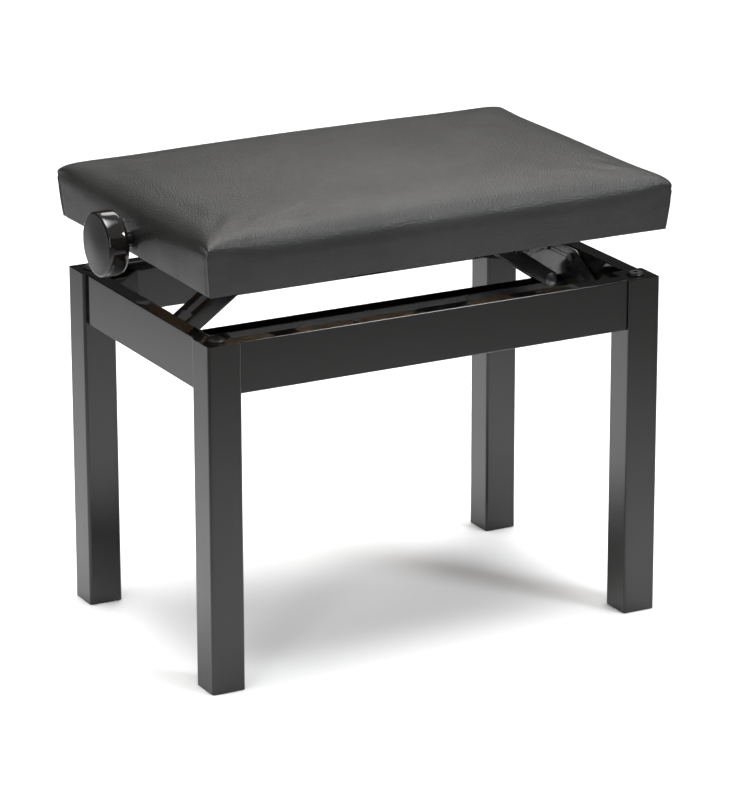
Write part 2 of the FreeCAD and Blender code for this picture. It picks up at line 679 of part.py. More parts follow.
# --- spindle and knob ----------------------------------------------------------------------------------
def spindle_group():
    start = "knob_start + knob_bore_depth"
    keep("spindle", rod("spindle_bar", "spindle_radius", f"{start} + spindle_end",
                        f"-1 * ({start})", "0", "spindle_z", TO_PLUS_X))

    ring = rod("collar_ring", "collar_radius", "collar_length", "-1 * knob_start", "0",
               "spindle_z", TO_PLUS_X)
    hole = rod("collar_hole", "spindle_radius", "3 * collar_length",
               "-1 * knob_start - collar_length", "0", "spindle_z", TO_PLUS_X)
    keep("knob_collar", cut("collar_bored", ring, [hole]))

    knob = new_body("knob_turning")
    section = new_sketch(knob, "knob_section")
    shoulder = "knob_neck + knob_back"
    polygon(section, [
        ("0", "spindle_radius"), ("0", "knob_neck_radius"), ("knob_neck * 0.5", "knob_neck_radius"),
        ("knob_neck", "knob_neck_radius * 1.35"),
        (shoulder, "knob_radius"), (f"{shoulder} + knob_rim", "knob_radius"),
        (f"{shoulder} + knob_rim + knob_dome * 0.7", "knob_radius * 0.6"),
        (f"{shoulder} + knob_rim + knob_dome", "knob_radius * 0.2"),
        (f"{shoulder} + knob_rim + knob_dome", "0"), ("knob_bore_depth", "0"),
        ("knob_bore_depth", "spindle_radius")])
    turned = revolve(knob, section)
    rim = number("knob_radius")
    round_edges(knob, turned, "knob_round",
                lambda edge: edge.Curve.TypeId == "Part::GeomCircle"
                and abs(edge.Curve.Radius - rim) < 0.01)
    place(knob, "-1 * knob_start", "0", "spindle_z", "rotation(vector(0; 0; 1); 180)")
    keep("knob", knob)

    clips = []
    for name, x in (("outer", "bearing_left_x - bearing_sheet / 2 - clip_clearance - clip_thickness"),
                    ("inner", "bearing_left_x + bearing_sheet / 2 + clip_clearance")):
        disc = rod(f"clip_{name}_disc", "clip_radius", "clip_thickness", x, "0", "spindle_z", TO_PLUS_X)
        eye = rod(f"clip_{name}_eye", "spindle_radius", "3 * clip_thickness",
                  f"{x} - clip_thickness", "0", "spindle_z", TO_PLUS_X)
        clips.append(cut(f"clip_{name}", disc, [eye]))
    keep("spindle_clips", group("clip_set", clips))


# --- the seat --------------------------------------------------------------------------------------------
def seat_screw_places():
    """Each screw that holds a bracket to the seat board: its x, y and the sheet under its head."""
    spots = [(x, f"{sy} * (bearing_width / 2 - 2 * screw_head_radius + screw_radius)", "bearing_sheet")
             for x in BEARING_SCREWS for sy in ("-1", "1")]
    spots += [(f"{sx} * pivot_x + {step} * bracket_length / 4", "0", "bracket_sheet")
              for sx in SIDES.values() for step in ("-1", "1")]
    return spots


BEARINGS = {"left": "bearing_left_x", "centre": "0", "right": "bearing_place"}
BEARING_SCREWS = ["bearing_left_x + bearing_foot / 2", "bearing_foot / 2",
                  "bearing_place + bearing_foot / 2"]


def seat_box():
    holes = [rod(f"board_screw_hole_{i}", "screw_radius + hole_fit", "screw_length + hole_fit",
                 x, y, "board_bottom") for i, (x, y, _) in enumerate(seat_screw_places())]
    board = new_body("board_sheet")
    outline = new_sketch(board, "board_outline")
    rectangle(outline, "-1 * box_half_length", "-1 * box_half_width",
              "box_half_length", "box_half_width")
    pad(board, outline, "board_thickness")
    place(board, "0", "0", "board_bottom")
    keep("seat_board", cut("board_drilled", board, holes))

    for face, sy in FACES.items():
        low_y = f"{sy} * (box_half_width - side_board_thickness / 2) - side_board_thickness / 2"
        keep(f"seat_side_{face}", box(
            f"side_board_{face}", "2 * box_half_length", "side_board_thickness",
            "side_board_height", "-1 * box_half_length", low_y, "box_bottom"))
    for side, sx in SIDES.items():
        low_x = f"{sx} * (box_half_length - side_board_thickness / 2) - side_board_thickness / 2"
        board = box(f"side_board_{side}", "side_board_thickness",
                    "2 * (box_half_width - side_board_thickness)", "side_board_height",
                    low_x, "side_board_thickness - box_half_width", "box_bottom")
        if side == "left":
            bore = rod("bush_hole", "bush_radius", "3 * side_board_thickness",
                       f"{low_x} - side_board_thickness", "0", "spindle_z", TO_PLUS_X)
            board = cut("side_board_left_bored", board, [bore])
        keep(f"seat_side_{side}", board)


def seat_padding():
    """The foam on the board, and the cover that wraps the sides of the box."""
    foam = new_body("foam_block")
    outline = new_sketch(foam, "foam_outline")
    rectangle(outline, "-1 * seat_length / 2", "-1 * seat_width / 2", "seat_length / 2", "seat_width / 2")
    block = pad(foam, outline, "foam_height")
    top = number("foam_height")
    round_edges(foam, block, "foam_round",
                lambda edge: all(abs(v.Point.z - top) < 0.01 for v in edge.Vertexes))
    keep("cushion", place(foam, "0", "0", "board_top"))

    height = "board_top - seat_bottom"
    outer = box("cover_outer", "seat_length", "seat_width", height,
                "-1 * seat_length / 2", "-1 * seat_width / 2", "seat_bottom")
    inner = box("cover_inner", "2 * box_half_length", "2 * box_half_width", f"2 * ({height})",
                "-1 * box_half_length", "-1 * box_half_width", f"seat_bottom - ({height}) / 2")
    bore = rod("cover_bore", "bush_radius", "seat_length / 4",
               "-1 * seat_length / 2 - seat_length / 8", "0", "spindle_z", TO_PLUS_X)
    keep("side_cover", cut("cover_ring", outer, [inner, bore]))


def seat_fittings():
    for name, x in BEARINGS.items():
        wall = box(f"{name}_bearing_wall", "bearing_sheet", "bearing_width",
                   "board_bottom - spindle_z + bearing_drop", f"{x} - bearing_sheet / 2",
                   "-1 * bearing_width / 2", "spindle_z - bearing_drop")
        foot = box(f"{name}_bearing_foot", "bearing_foot", "bearing_width", "bearing_sheet",
                   f"{x} - bearing_sheet / 2", "-1 * bearing_width / 2",
                   "board_bottom - bearing_sheet")
        eye = rod(f"{name}_bearing_eye", "spindle_radius + running_fit", "3 * bearing_sheet",
                  f"{x} - 1.5 * bearing_sheet", "0", "spindle_z", TO_PLUS_X)
        holes = [rod(f"{name}_bearing_hole_{i}", "screw_radius + hole_fit", "3 * bearing_sheet",
                     sx_, sy_, "board_bottom - 2 * bearing_sheet")
                 for i, (sx_, sy_, _) in enumerate(seat_screw_places())
                 if sx_ == BEARING_SCREWS[list(BEARINGS).index(name)]]
        keep(f"{name}_bearing", cut(f"{name}_bearing_drilled",
                                    fuse(f"{name}_bearing_blank", [wall, foot]), [eye] + holes))

    pins = []
    for side, sx in SIDES.items():
        name = f"{side}_link_bracket"
        low_x = f"{sx} * pivot_x - bracket_length / 2"
        crown = box(name + "_crown", "bracket_length", "2 * ear_outer", "bracket_sheet",
                    low_x, "-1 * ear_outer", "board_bottom - bracket_sheet")
        ears = []
        for face, sy in FACES.items():
            low_y = f"{sy} * (ear_inner + bracket_sheet / 2) - bracket_sheet / 2"
            ears.append(box(f"{name}_ear_{face}", "bracket_length", "bracket_sheet",
                            "board_bottom - spindle_z + bracket_drop", low_x, low_y,
                            "spindle_z - bracket_drop"))
            body = new_body(f"link_pin_{side}_{face}")
            sketch = new_sketch(body, f"link_pin_{side}_{face}_section")
            head = "ear_outer + rivet_head"
            polygon(sketch, [("link_inner", "0"), (head, "0"), (head, "link_pin_radius"),
                             ("ear_outer + rivet_head * 0.4", "link_pin_radius + rivet_rim"),
                             ("ear_outer", "link_pin_radius + rivet_rim"),
                             ("ear_outer", "link_pin_radius"), ("link_inner", "link_pin_radius")])
            revolve(body, sketch)
            pins.append(place(body, f"{sx} * pivot_x", "0", "spindle_z",
                              f"rotation(vector(0; 0; 1); {sy} * 90)"))
        holes = [rod(name + "_pin_hole", "link_pin_radius", "4 * ear_outer", f"{sx} * pivot_x",
                     "-2 * ear_outer", "spindle_z", TO_PLUS_Y)]
        holes += [rod(f"{name}_screw_hole_{i}", "screw_radius + hole_fit", "3 * bracket_sheet",
                      x, y, "board_bottom - 2 * bracket_sheet")
                  for i, (x, y, _) in enumerate(seat_screw_places()) if x.startswith(f"{sx} * pivot_x")]
        keep(name, cut(name + "_drilled", fuse(name + "_blank", [crown] + ears), holes))
    keep("link_bracket_pins", group("link_pin_set", pins))

    screws = []
    for i, (x, y, sheet) in enumerate(seat_screw_places()):
        shank = rod(f"seat_screw_{i}_shank", "screw_radius", f"{sheet} + screw_length",
                    x, y, f"board_bottom - {sheet}")
        head = rod(f"seat_screw_{i}_head", "screw_head_radius", "screw_head_height",
                   x, y, f"board_bottom - {sheet} - screw_head_height")
        screws.append(fuse(f"seat_screw_{i}", [shank, head]))
    keep("bracket_screws", group("seat_screw_set", screws))

    wall = "cover_thickness + side_board_thickness"
    barrel = rod("bush_barrel", "bush_radius", wall, "-1 * seat_side_x", "0", "spindle_z", TO_PLUS_X)
    flange = rod("bush_rim", "bush_flange_radius", "bush_flange", "-1 * seat_side_x - bush_flange",
                 "0", "spindle_z", TO_PLUS_X)
    bore = rod("bush_bore", "spindle_radius + running_fit", f"3 * ({wall})",
               f"-1 * seat_side_x - ({wall})", "0", "spindle_z", TO_PLUS_X)
    keep("spindle_bush", cut("bush_bored", fuse("bush_blank", [barrel, flange]), [bore]))

    keep("seat_bumpers", group("bumper_set", [
        rod(f"bumper_{side}_{face}", "bumper_radius", "bumper_height",
            f"{sx} * (seat_length / 2 - bumper_inset)", f"{sy} * (seat_width / 2 - bumper_inset_side)",
            "box_bottom - bumper_height") for side, sx in SIDES.items() for face, sy in FACES.items()]))


def export():
    doc.recompute()
    broken = [thing.Label for thing in doc.Objects
              if {"Invalid", "Error"} & set(thing.State)]
    broken += [piece.Label for piece in pieces if piece.Shape.isNull() or not piece.Shape.isValid()]
    if broken:
        raise RuntimeError("these objects failed: " + ", ".join(broken))
    os.makedirs("parts", exist_ok=True)
    for piece in pieces:
        piece.Shape.exportStep(f"parts/{piece.Label}.step")
        print(f"{piece.Label}: {len(piece.Shape.Solids)} solid(s), {piece.Shape.Volume / 1000:.2f} cm3")
    print(len(pieces), "pieces")


legs()
rails()
corner_blocks()
frame_hardware()
end_plates()
end_screws()
base_channel()
arms()
links()
nuts()
spindle_group()
seat_box()
seat_padding()
seat_fittings()
export()
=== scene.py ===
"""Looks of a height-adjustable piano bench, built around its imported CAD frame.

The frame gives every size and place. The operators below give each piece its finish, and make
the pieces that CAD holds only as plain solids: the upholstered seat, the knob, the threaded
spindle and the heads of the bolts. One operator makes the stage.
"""
import math

import bmesh
import bpy
from mathutils import Matrix, Vector


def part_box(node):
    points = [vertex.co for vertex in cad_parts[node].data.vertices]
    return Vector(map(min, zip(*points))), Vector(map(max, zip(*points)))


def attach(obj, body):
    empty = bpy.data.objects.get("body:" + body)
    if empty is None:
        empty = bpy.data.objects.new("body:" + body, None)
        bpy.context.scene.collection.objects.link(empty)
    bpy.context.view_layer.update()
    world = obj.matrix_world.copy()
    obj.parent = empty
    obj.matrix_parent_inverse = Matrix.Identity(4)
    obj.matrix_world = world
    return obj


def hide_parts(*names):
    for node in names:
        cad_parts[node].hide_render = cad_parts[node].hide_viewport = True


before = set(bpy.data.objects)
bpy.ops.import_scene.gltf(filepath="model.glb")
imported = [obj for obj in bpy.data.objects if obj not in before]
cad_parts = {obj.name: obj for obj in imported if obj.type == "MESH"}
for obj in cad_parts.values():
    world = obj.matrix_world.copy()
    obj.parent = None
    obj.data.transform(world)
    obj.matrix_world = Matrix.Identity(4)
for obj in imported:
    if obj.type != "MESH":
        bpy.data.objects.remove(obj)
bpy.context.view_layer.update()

bl_info = {
    "name": "Piano Bench",
    "version": (1, 0, 0),
    "blender": (4, 5, 0),
    "location": "View3D > Sidebar > Piano Bench",
    "description": "Padded seat, lacquered frame and lift of a height-adjustable piano bench",
    "category": "Add Mesh",
}

MM = 0.001
SIDES = {"left": -1, "right": 1}
FACES = {"front": -1, "back": 1}

COVER_LOW, COVER_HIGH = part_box("side_cover")
PAD_LOW, PAD_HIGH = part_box("cushion")
BOARD_LOW, BOARD_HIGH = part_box("seat_board")
KNOB_LOW, KNOB_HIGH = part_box("knob")
SPINDLE_LOW, SPINDLE_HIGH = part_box("spindle")
LEG_LOW, LEG_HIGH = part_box("leg_front_left")
SPINDLE_Z = (SPINDLE_LOW.z + SPINDLE_HIGH.z) / 2
SPINDLE_RADIUS = (SPINDLE_HIGH.z - SPINDLE_LOW.z) / 2
KNOB_RADIUS = (KNOB_HIGH.z - KNOB_LOW.z) / 2


# --- mesh helpers --------------------------------------------------------------------------------
def new_object(name, mesh):
    thing = bpy.data.objects.new(name, mesh)
    bpy.context.scene.collection.objects.link(thing)
    return thing


def mesh_from(name, vertices, faces, smooth=True):
    mesh = bpy.data.meshes.new(name)
    mesh.from_pydata([tuple(v) for v in vertices], [], faces)
    mesh.validate()
    if smooth:
        mesh.shade_smooth()
    return mesh


def join_bmesh(name, build):
    """An object whose mesh is made by build(bm)."""
    bm = bmesh.new()
    build(bm)
    bmesh.ops.recalc_face_normals(bm, faces=bm.faces)
    mesh = bpy.data.meshes.new(name)
    bm.to_mesh(mesh)
    bm.free()
    return new_object(name, mesh)


def bezier(start, near_start, near_end, end, steps):
    """Points along a cubic curve, without its last one."""
    points, guides = [], (start, near_start, near_end, end)
    for step in range(steps):
        t = step / steps
        s = 1 - t
        weights = (s ** 3, 3 * s * s * t, 3 * s * t * t, t ** 3)
        points.append(tuple(sum(w * p[k] for w, p in zip(weights, guides)) for k in (0, 1)))
    return points


def lathe(bm, profile, place, segments):
    """Turn a profile of (distance along the axis, radius) about place's own X axis.

    Points of no radius become the poles.
    """
    rings = []
    for along, radius in profile:
        if radius <= 0:
            rings.append([bm.verts.new(place @ Vector((along, 0, 0)))])
            continue
        ring = []
        for index in range(segments):
            turn = 2 * math.pi * index / segments
            ring.append(bm.verts.new(place @ Vector(
                (along, radius * math.cos(turn), radius * math.sin(turn)))))
        rings.append(ring)
    for one, two in zip(rings, rings[1:]):
        for index in range(segments):
            after = (index + 1) % segments
            if len(one) == 1:
                bm.faces.new((one[0], two[index], two[after]))
            elif len(two) == 1:
                bm.faces.new((one[index], two[0], one[after]))
            else:
                bm.faces.new((one[index], two[index], two[after], one[after]))
    for ring in (rings[0], rings[-1]):
        if len(ring) > 1:
            bm.faces.new(ring)


def add_modifier(thing, kind, name, **settings):
    modifier = thing.modifiers.new(name, kind)
    for key, value in settings.items():
        setattr(modifier, key, value)
    return modifier


def soften_edges(thing, width):
    """Break the sharp edges of a piece, as a real one's are."""
    add_modifier(thing, "WELD", "joined corners", merge_threshold=0.01 * MM)
    add_modifier(thing, "BEVEL", "broken edges", width=width, segments=2,
                 limit_method="ANGLE", angle_limit=math.radians(32), harden_normals=False)
    add_modifier(thing, "WEIGHTED_NORMAL", "flat faces", keep_sharp=False)


def apply_modifiers(thing):
    """Turn a piece's modifiers into its mesh."""
    bpy.context.view_layer.update()
    graph = bpy.context.evaluated_depsgraph_get()
    mesh = bpy.data.meshes.new_from_object(thing.evaluated_get(graph))
    thing.modifiers.clear()
    thing.data = mesh


def set_material(thing, material):
    thing.data.materials.clear()
    thing.data.materials.append(material)


def dress(node, material, edge):
    """Give a CAD node its finish, and break its edges by the width edge."""
    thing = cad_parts[node]
    set_material(thing, material)
    soften_edges(thing, edge)


# --- material helpers ----------------------------------------------------------------------------
def start_material(name, colour, roughness, **sockets):
    """A material with a Principled shader; sockets set more of the shader's own values."""
    material = bpy.data.materials.new(name)
    material.use_nodes = True
    shader = material.node_tree.nodes["Principled BSDF"]
    shader.inputs["Base Color"].default_value = (*colour, 1)
    shader.inputs["Roughness"].default_value = roughness
    for key, value in sockets.items():
        shader.inputs[key.replace("_", " ").title().replace("Ior", "IOR")].default_value = value
    return material, material.node_tree, shader


def add_node(tree, kind, inputs=None, **settings):
    """A node; an input is a number, a colour or another node's socket."""
    node = tree.nodes.new(kind)
    for key, value in settings.items():
        setattr(node, key, value)
    for key, value in (inputs or {}).items():
        if isinstance(value, bpy.types.NodeSocket):
            tree.links.new(value, node.inputs[key])
        else:
            node.inputs[key].default_value = value
    return node


def object_place(tree, stretch=(1, 1, 1)):
    """The point on the piece in metres, stretched along its axes."""
    where = add_node(tree, "ShaderNodeTexCoord").outputs["Object"]
    mapping = add_node(tree, "ShaderNodeMapping", {"Vector": where, "Scale": stretch})
    return mapping.outputs["Vector"]


def noise_of(tree, place, scale, detail=2.0, rough=0.5):
    return add_node(tree, "ShaderNodeTexNoise",
                    {"Vector": place, "Scale": scale, "Detail": detail, "Roughness": rough}
                    ).outputs["Fac"]


def spread(tree, value, low, high, from_low=0.3, from_high=0.7):
    """Map a texture's useful range onto low..high."""
    return add_node(tree, "ShaderNodeMapRange", {
        "Value": value, "From Min": from_low, "From Max": from_high,
        "To Min": low, "To Max": high}).outputs["Result"]


def blend_colours(tree, share, first, second):
    node = add_node(tree, "ShaderNodeMix", data_type="RGBA")
    tree.links.new(share, node.inputs[0])
    node.inputs[6].default_value = (*first, 1)
    node.inputs[7].default_value = (*second, 1)
    return node.outputs[2]


def bump_of(tree, height, strength, depth, below=None):
    inputs = {"Height": height, "Strength": strength, "Distance": depth}
    if below is not None:
        inputs["Normal"] = below
    return add_node(tree, "ShaderNodeBump", inputs).outputs["Normal"]


# --- settings ------------------------------------------------------------------------------------
def length(name, value, note):
    return bpy.props.FloatProperty(name=name, description=note, default=value, min=0, unit="LENGTH")


def angle(name, degrees, note):
    return bpy.props.FloatProperty(name=name, description=note, default=math.radians(degrees),
                                   subtype="ANGLE")


def colour(name, value, note):
    return bpy.props.FloatVectorProperty(name=name, description=note, default=value, size=3,
                                         min=0, max=1, subtype="COLOR")


def amount(name, value, note, low=0.0, high=1.0):
    return bpy.props.FloatProperty(name=name, description=note, default=value, min=low, max=high,
                                   subtype="FACTOR")


class FinishSettings(bpy.types.PropertyGroup):
    """Colours of the bench's finishes"""
    lacquer: colour("Lacquer", (0.006, 0.0055, 0.005), "Polyester lacquer of the legs and rails")
    lacquer_gloss: amount("Lacquer roughness", 0.045, "0 is a mirror")
    leatherette: colour("Leatherette", (0.02, 0.0198, 0.0188), "Seat cover")
    leatherette_gloss: amount("Leatherette roughness", 0.4, "0 is a mirror")
    leatherette_shine: amount("Leatherette shine", 0.36, "Strength of its reflections")
    paint: colour("Paint", (0.008, 0.008, 0.008), "Gloss paint of the lift")
    knob: colour("Knob", (0.006, 0.005, 0.0045), "Polished knob")


class SeatSettings(bpy.types.PropertyGroup):
    """Sizes of the upholstered seat"""
    roll: length("Roll", 33 * MM, "How far the rounding reaches in from the seat's edge")
    fullness: bpy.props.FloatProperty(name="Fullness", default=3.3, min=1,
                                      description="2 rounds the roll's edge like an ellipse")
    side_height: length("Side height", 37 * MM, "Straight part of the sides, halfway along them")
    corner_height: length("Corner height", 49 * MM, "The same at a corner")
    corner_reach: length("Corner reach", 50 * MM, "Length over which a side rises to its corner")
    crown: length("Crown", 11.8 * MM, "Rise of the top from its edges to the middle")
    flare: length("Flare", 4.5 * MM, "How far the top of the sides stands out past their hem")
    pull_in: length("Pull in", 1 * MM, "How far a side falls back between its corners")
    swell: length("Swell", 1.6 * MM, "How far the padding may swell under its cover")
    corner_ease: length("Corner ease", 55 * MM, "Length over which a corner holds the padding in")
    hem_width: length("Hem", 11 * MM, "Cover turned in under the side boards")
    hem_lift: length("Hem lift", 0.7 * MM, "Rise of the hem halfway between its corners")
    cell: length("Cell", 6.5 * MM, "Widest cell of the cover's mesh")
    crease: length("Crease", 4 * MM, "Depth of the fold down each corner")
    gather: length("Gather", 1 * MM, "Depth of the creases that run out from a fold")


class KnobSettings(bpy.types.PropertyGroup):
    """Shape of the knob"""
    neck: length("Neck", 10 * MM, "Radius of the neck")
    rim_round: length("Rim rounding", 4.5 * MM, "Rounding between the knob's face and its rim")
    dome: length("Dome", 2 * MM, "Rise of the knob's face")
    proud: length("Proud", 4 * MM, "How far the face stands out past the plain knob")
    segments: bpy.props.IntProperty(name="Segments", description="Facets round the knob",
                                    default=96, min=12)


class SpindleSettings(bpy.types.PropertyGroup):
    """Threads of the spindle"""
    pitch: length("Pitch", 4 * MM, "Distance between two crests")
    depth: length("Depth", 1 * MM, "Crest to root")
    thread_start: length("Start", 26 * MM, "Middle of the bench to the start of each thread")
    thread_end: length("End", 132 * MM, "Middle of the bench to the end of each thread")


class StageSettings(bpy.types.PropertyGroup):
    """Floor, light and camera"""
    floor_size: length("Floor", 30.0, "Side of the floor")
    floor_tone: colour("Floor tone", (0.9, 0.9, 0.9), "Pale floor")
    sky: bpy.props.FloatProperty(name="Sky", description="Strength of the all-round light",
                                 default=0.05, min=0)
    turn: angle("Camera turn", 28.3, "From looking along +Y towards +X")
    tilt: angle("Camera tilt", 17.99, "Below the horizon")
    lean: angle("Camera lean", -0.12, "About its own axis")
    distance: length("Camera distance", 4721 * MM, "To the point that it looks at")
    aim_x: bpy.props.FloatProperty(name="Aim X", description="The point that it looks at",
                                   default=9.22 * MM, unit="LENGTH")
    aim_z: bpy.props.FloatProperty(name="Aim Z", description="The point that it looks at",
                                   default=236.93 * MM, unit="LENGTH")
    lens: bpy.props.FloatProperty(name="Lens", description="Focal length in millimetres",
                                  default=191.66, min=1)


SETTINGS = {
    "bench_finish": FinishSettings,
    "bench_seat": SeatSettings,
    "bench_knob": KnobSettings,
    "bench_spindle": SpindleSettings,
    "bench_stage": StageSettings,
}


# --- finishes ------------------------------------------------------------------------------------
made_materials = {}


def finish(name):
    """The material of that name, made once."""
    if name not in made_materials:
        made_materials[name] = FINISHES[name](bpy.context.scene.bench_finish)
    return made_materials[name]


def lacquer(settings):
    """Poured polyester lacquer: near black, a deep gloss, faintly wavy, with fine rubbing marks."""
    material, tree, shader = start_material("lacquer", settings.lacquer, settings.lacquer_gloss)
    place = object_place(tree)
    haze = noise_of(tree, place, 14, 5, 0.6)
    rough = spread(tree, haze, settings.lacquer_gloss * 0.7, settings.lacquer_gloss * 1.5)
    waves = noise_of(tree, place, 70, 1)
    specks = noise_of(tree, place, 900, 0)
    tree.links.new(rough, shader.inputs["Roughness"])
    wavy = bump_of(tree, waves, 0.06, 0.2 * MM)
    tree.links.new(bump_of(tree, specks, 0.02, 0.02 * MM, wavy), shader.inputs["Normal"])
    return material


def leatherette(settings):
    """Coated cloth: fine pebble grain in a satin skin, a little uneven in tone and gloss."""
    material, tree, shader = start_material("leatherette", settings.leatherette,
                                            settings.leatherette_gloss,
                                            specular_ior_level=settings.leatherette_shine)
    place = object_place(tree)
    pebbles = add_node(tree, "ShaderNodeTexVoronoi",
                       {"Vector": place, "Scale": 560}).outputs["Distance"]
    wrinkles = noise_of(tree, place, 420, 1)
    blotches = noise_of(tree, place, 9, 3)
    deep = tuple(0.8 * c for c in settings.leatherette)
    pale = tuple(1.25 * c for c in settings.leatherette)
    tone = blend_colours(tree, spread(tree, blotches, 0, 1), deep, pale)
    tree.links.new(tone, shader.inputs["Base Color"])
    rough = spread(tree, noise_of(tree, place, 22, 4), settings.leatherette_gloss - 0.04,
                   settings.leatherette_gloss + 0.06)
    tree.links.new(rough, shader.inputs["Roughness"])
    grain = bump_of(tree, pebbles, 1.0, 0.4 * MM)
    grain = bump_of(tree, wrinkles, 0.4, 0.3 * MM, grain)
    slack = noise_of(tree, object_place(tree, (0.35, 1, 1)), 55, 3, 0.6)
    tree.links.new(bump_of(tree, slack, 0.16, 1.2 * MM, grain), shader.inputs["Normal"])
    return material


def gloss_paint(settings):
    """Black paint on pressed steel, slightly rippled, thinner and duller in patches."""
    material, tree, shader = start_material("gloss_paint", settings.paint, 0.18)
    place = object_place(tree)
    dull = spread(tree, noise_of(tree, place, 35, 4), 0.12, 0.3)
    tree.links.new(dull, shader.inputs["Roughness"])
    ripple = bump_of(tree, noise_of(tree, place, 260, 2), 0.12, 0.1 * MM)
    tree.links.new(ripple, shader.inputs["Normal"])
    return material


def plated_steel(name, dark, pale, rough, along=(1, 1, 1)):
    """Plated or blackened steel with turning marks and a cloudy tone."""
    material, tree, shader = start_material(name, dark, rough, metallic=1.0)
    place = object_place(tree, along)
    tone = blend_colours(tree, spread(tree, noise_of(tree, place, 120, 4), 0, 1), dark, pale)
    tree.links.new(tone, shader.inputs["Base Color"])
    marks = noise_of(tree, place, 500, 3)
    tree.links.new(spread(tree, marks, rough * 0.7, rough * 1.3), shader.inputs["Roughness"])
    tree.links.new(bump_of(tree, marks, 0.15, 0.05 * MM), shader.inputs["Normal"])
    return material


def zinc(settings):
    return plated_steel("zinc", (0.3, 0.3, 0.32), (0.46, 0.46, 0.47), 0.32)


def bolt_steel(settings):
    return plated_steel("bolt_steel", (0.035, 0.034, 0.033), (0.12, 0.12, 0.12), 0.48)


def brass(settings):
    return plated_steel("brass", (0.5, 0.36, 0.14), (0.66, 0.5, 0.22), 0.3)


def timber(name, pale, dark, stretch, rough):
    """Bare wood: long fibres, broad figure and small pores, the grain along the stretched axis."""
    material, tree, shader = start_material(name, pale, rough)
    place = object_place(tree, stretch)
    figure = noise_of(tree, place, 22, 5, 0.6)
    fibres = noise_of(tree, place, 240, 3)
    tone = blend_colours(tree, spread(tree, figure, 0, 1, 0.35, 0.65), pale, dark)
    tree.links.new(tone, shader.inputs["Base Color"])
    tree.links.new(bump_of(tree, fibres, 0.3, 0.15 * MM), shader.inputs["Normal"])
    return material


def beech(settings):
    return timber("beech", (0.5, 0.33, 0.18), (0.4, 0.24, 0.12), (0.12, 1, 1), 0.6)


def plywood(settings):
    """Birch plywood, darkened as painted shade for the inside of the seat box: its veneers show as
    bands on the edges, stacked in height.
    """
    # Painted shade: the base colour is darker than the plywood's own, to stand in for the shade
    # inside the seat box.
    material, tree, shader = start_material("plywood", (0.2, 0.13, 0.07), 0.62)
    place = object_place(tree)
    height = add_node(tree, "ShaderNodeSeparateXYZ", {"Vector": place}).outputs["Z"]
    layer = add_node(tree, "ShaderNodeMath", {0: height, 1: 1.6 * MM}, operation="PINGPONG")
    band = spread(tree, layer.outputs["Value"], 0, 1, 0.5 * MM, 1.1 * MM)
    figure = noise_of(tree, object_place(tree, (0.1, 1, 1)), 30, 4)
    both = add_node(tree, "ShaderNodeMath", {0: band, 1: figure}, operation="MULTIPLY")
    # Painted shade: both veneer tones are darkened to stand in for the shade inside the seat box.
    tone = blend_colours(tree, both.outputs["Value"], (0.24, 0.155, 0.085), (0.15, 0.09, 0.045))
    tree.links.new(tone, shader.inputs["Base Color"])
    fibres = noise_of(tree, object_place(tree, (0.08, 1, 1)), 320, 2)
    tree.links.new(bump_of(tree, fibres, 0.25, 0.1 * MM), shader.inputs["Normal"])
    return material


def polished_knob(settings):
    """Turned and polished: a mirror gloss with the faintest swirl marks."""
    material, tree, shader = start_material("polished_knob", settings.knob, 0.05)
    place = object_place(tree)
    haze = spread(tree, noise_of(tree, place, 60, 4), 0.03, 0.09)
    tree.links.new(haze, shader.inputs["Roughness"])
    swirl = bump_of(tree, noise_of(tree, place, 45, 1), 0.05, 0.1 * MM)
    tree.links.new(swirl, shader.inputs["Normal"])
    return material


def moulded(name, tone, rough, scale):
    """Moulded plastic or rubber with a fine spark-eroded texture."""
    material, tree, shader = start_material(name, tone, rough)
    place = object_place(tree)
    grain = noise_of(tree, place, scale, 2)
    tree.links.new(spread(tree, grain, rough - 0.08, rough + 0.08), shader.inputs["Roughness"])
    tree.links.new(bump_of(tree, grain, 0.3, 0.08 * MM), shader.inputs["Normal"])
    return material


def black_plastic(settings):
    return moulded("black_plastic", (0.012, 0.012, 0.012), 0.45, 900)


def rubber(settings):
    return moulded("rubber", (0.016, 0.016, 0.016), 0.7, 600)


def floor_paper(settings):
    """Seamless paper: pale and matt."""
    tone = bpy.context.scene.bench_stage.floor_tone
    return start_material("floor_paper", tone, 0.9, specular_ior_level=0.0)[0]


FINISHES = {
    "lacquer": lacquer,
    "leatherette": leatherette,
    "gloss_paint": gloss_paint,
    "zinc": zinc,
    "bolt_steel": bolt_steel,
    "brass": brass,
    "beech": beech,
    "plywood": plywood,
    "polished_knob": polished_knob,
    "black_plastic": black_plastic,
    "rubber": rubber,
    "floor_paper": floor_paper,
}


# --- wooden frame --------------------------------------------------------------------------------
class BENCH_OT_frame(bpy.types.Operator):
    """Lacquer the legs, rails and corner blocks, and finish the dowels inside"""
    bl_idname = "bench.frame"
    bl_label = "Wooden frame"

    def execute(self, context):
        for side in SIDES:
            for face in FACES:
                dress(f"leg_{face}_{side}", finish("lacquer"), 1.5 * MM)
                dress(f"corner_block_{face}_{side}", finish("lacquer"), 1.2 * MM)
            dress(f"{side}_rail", finish("lacquer"), 1.3 * MM)
        for face in FACES:
            dress(f"{face}_rail", finish("lacquer"), 1.3 * MM)
        dress("rail_dowels", finish("beech"), 0.5 * MM)
        return {"FINISHED"}


SOCKET_RADIUS, SHANK_RADIUS, SHANK_LENGTH = 2.8 * MM, 4 * MM, 12 * MM


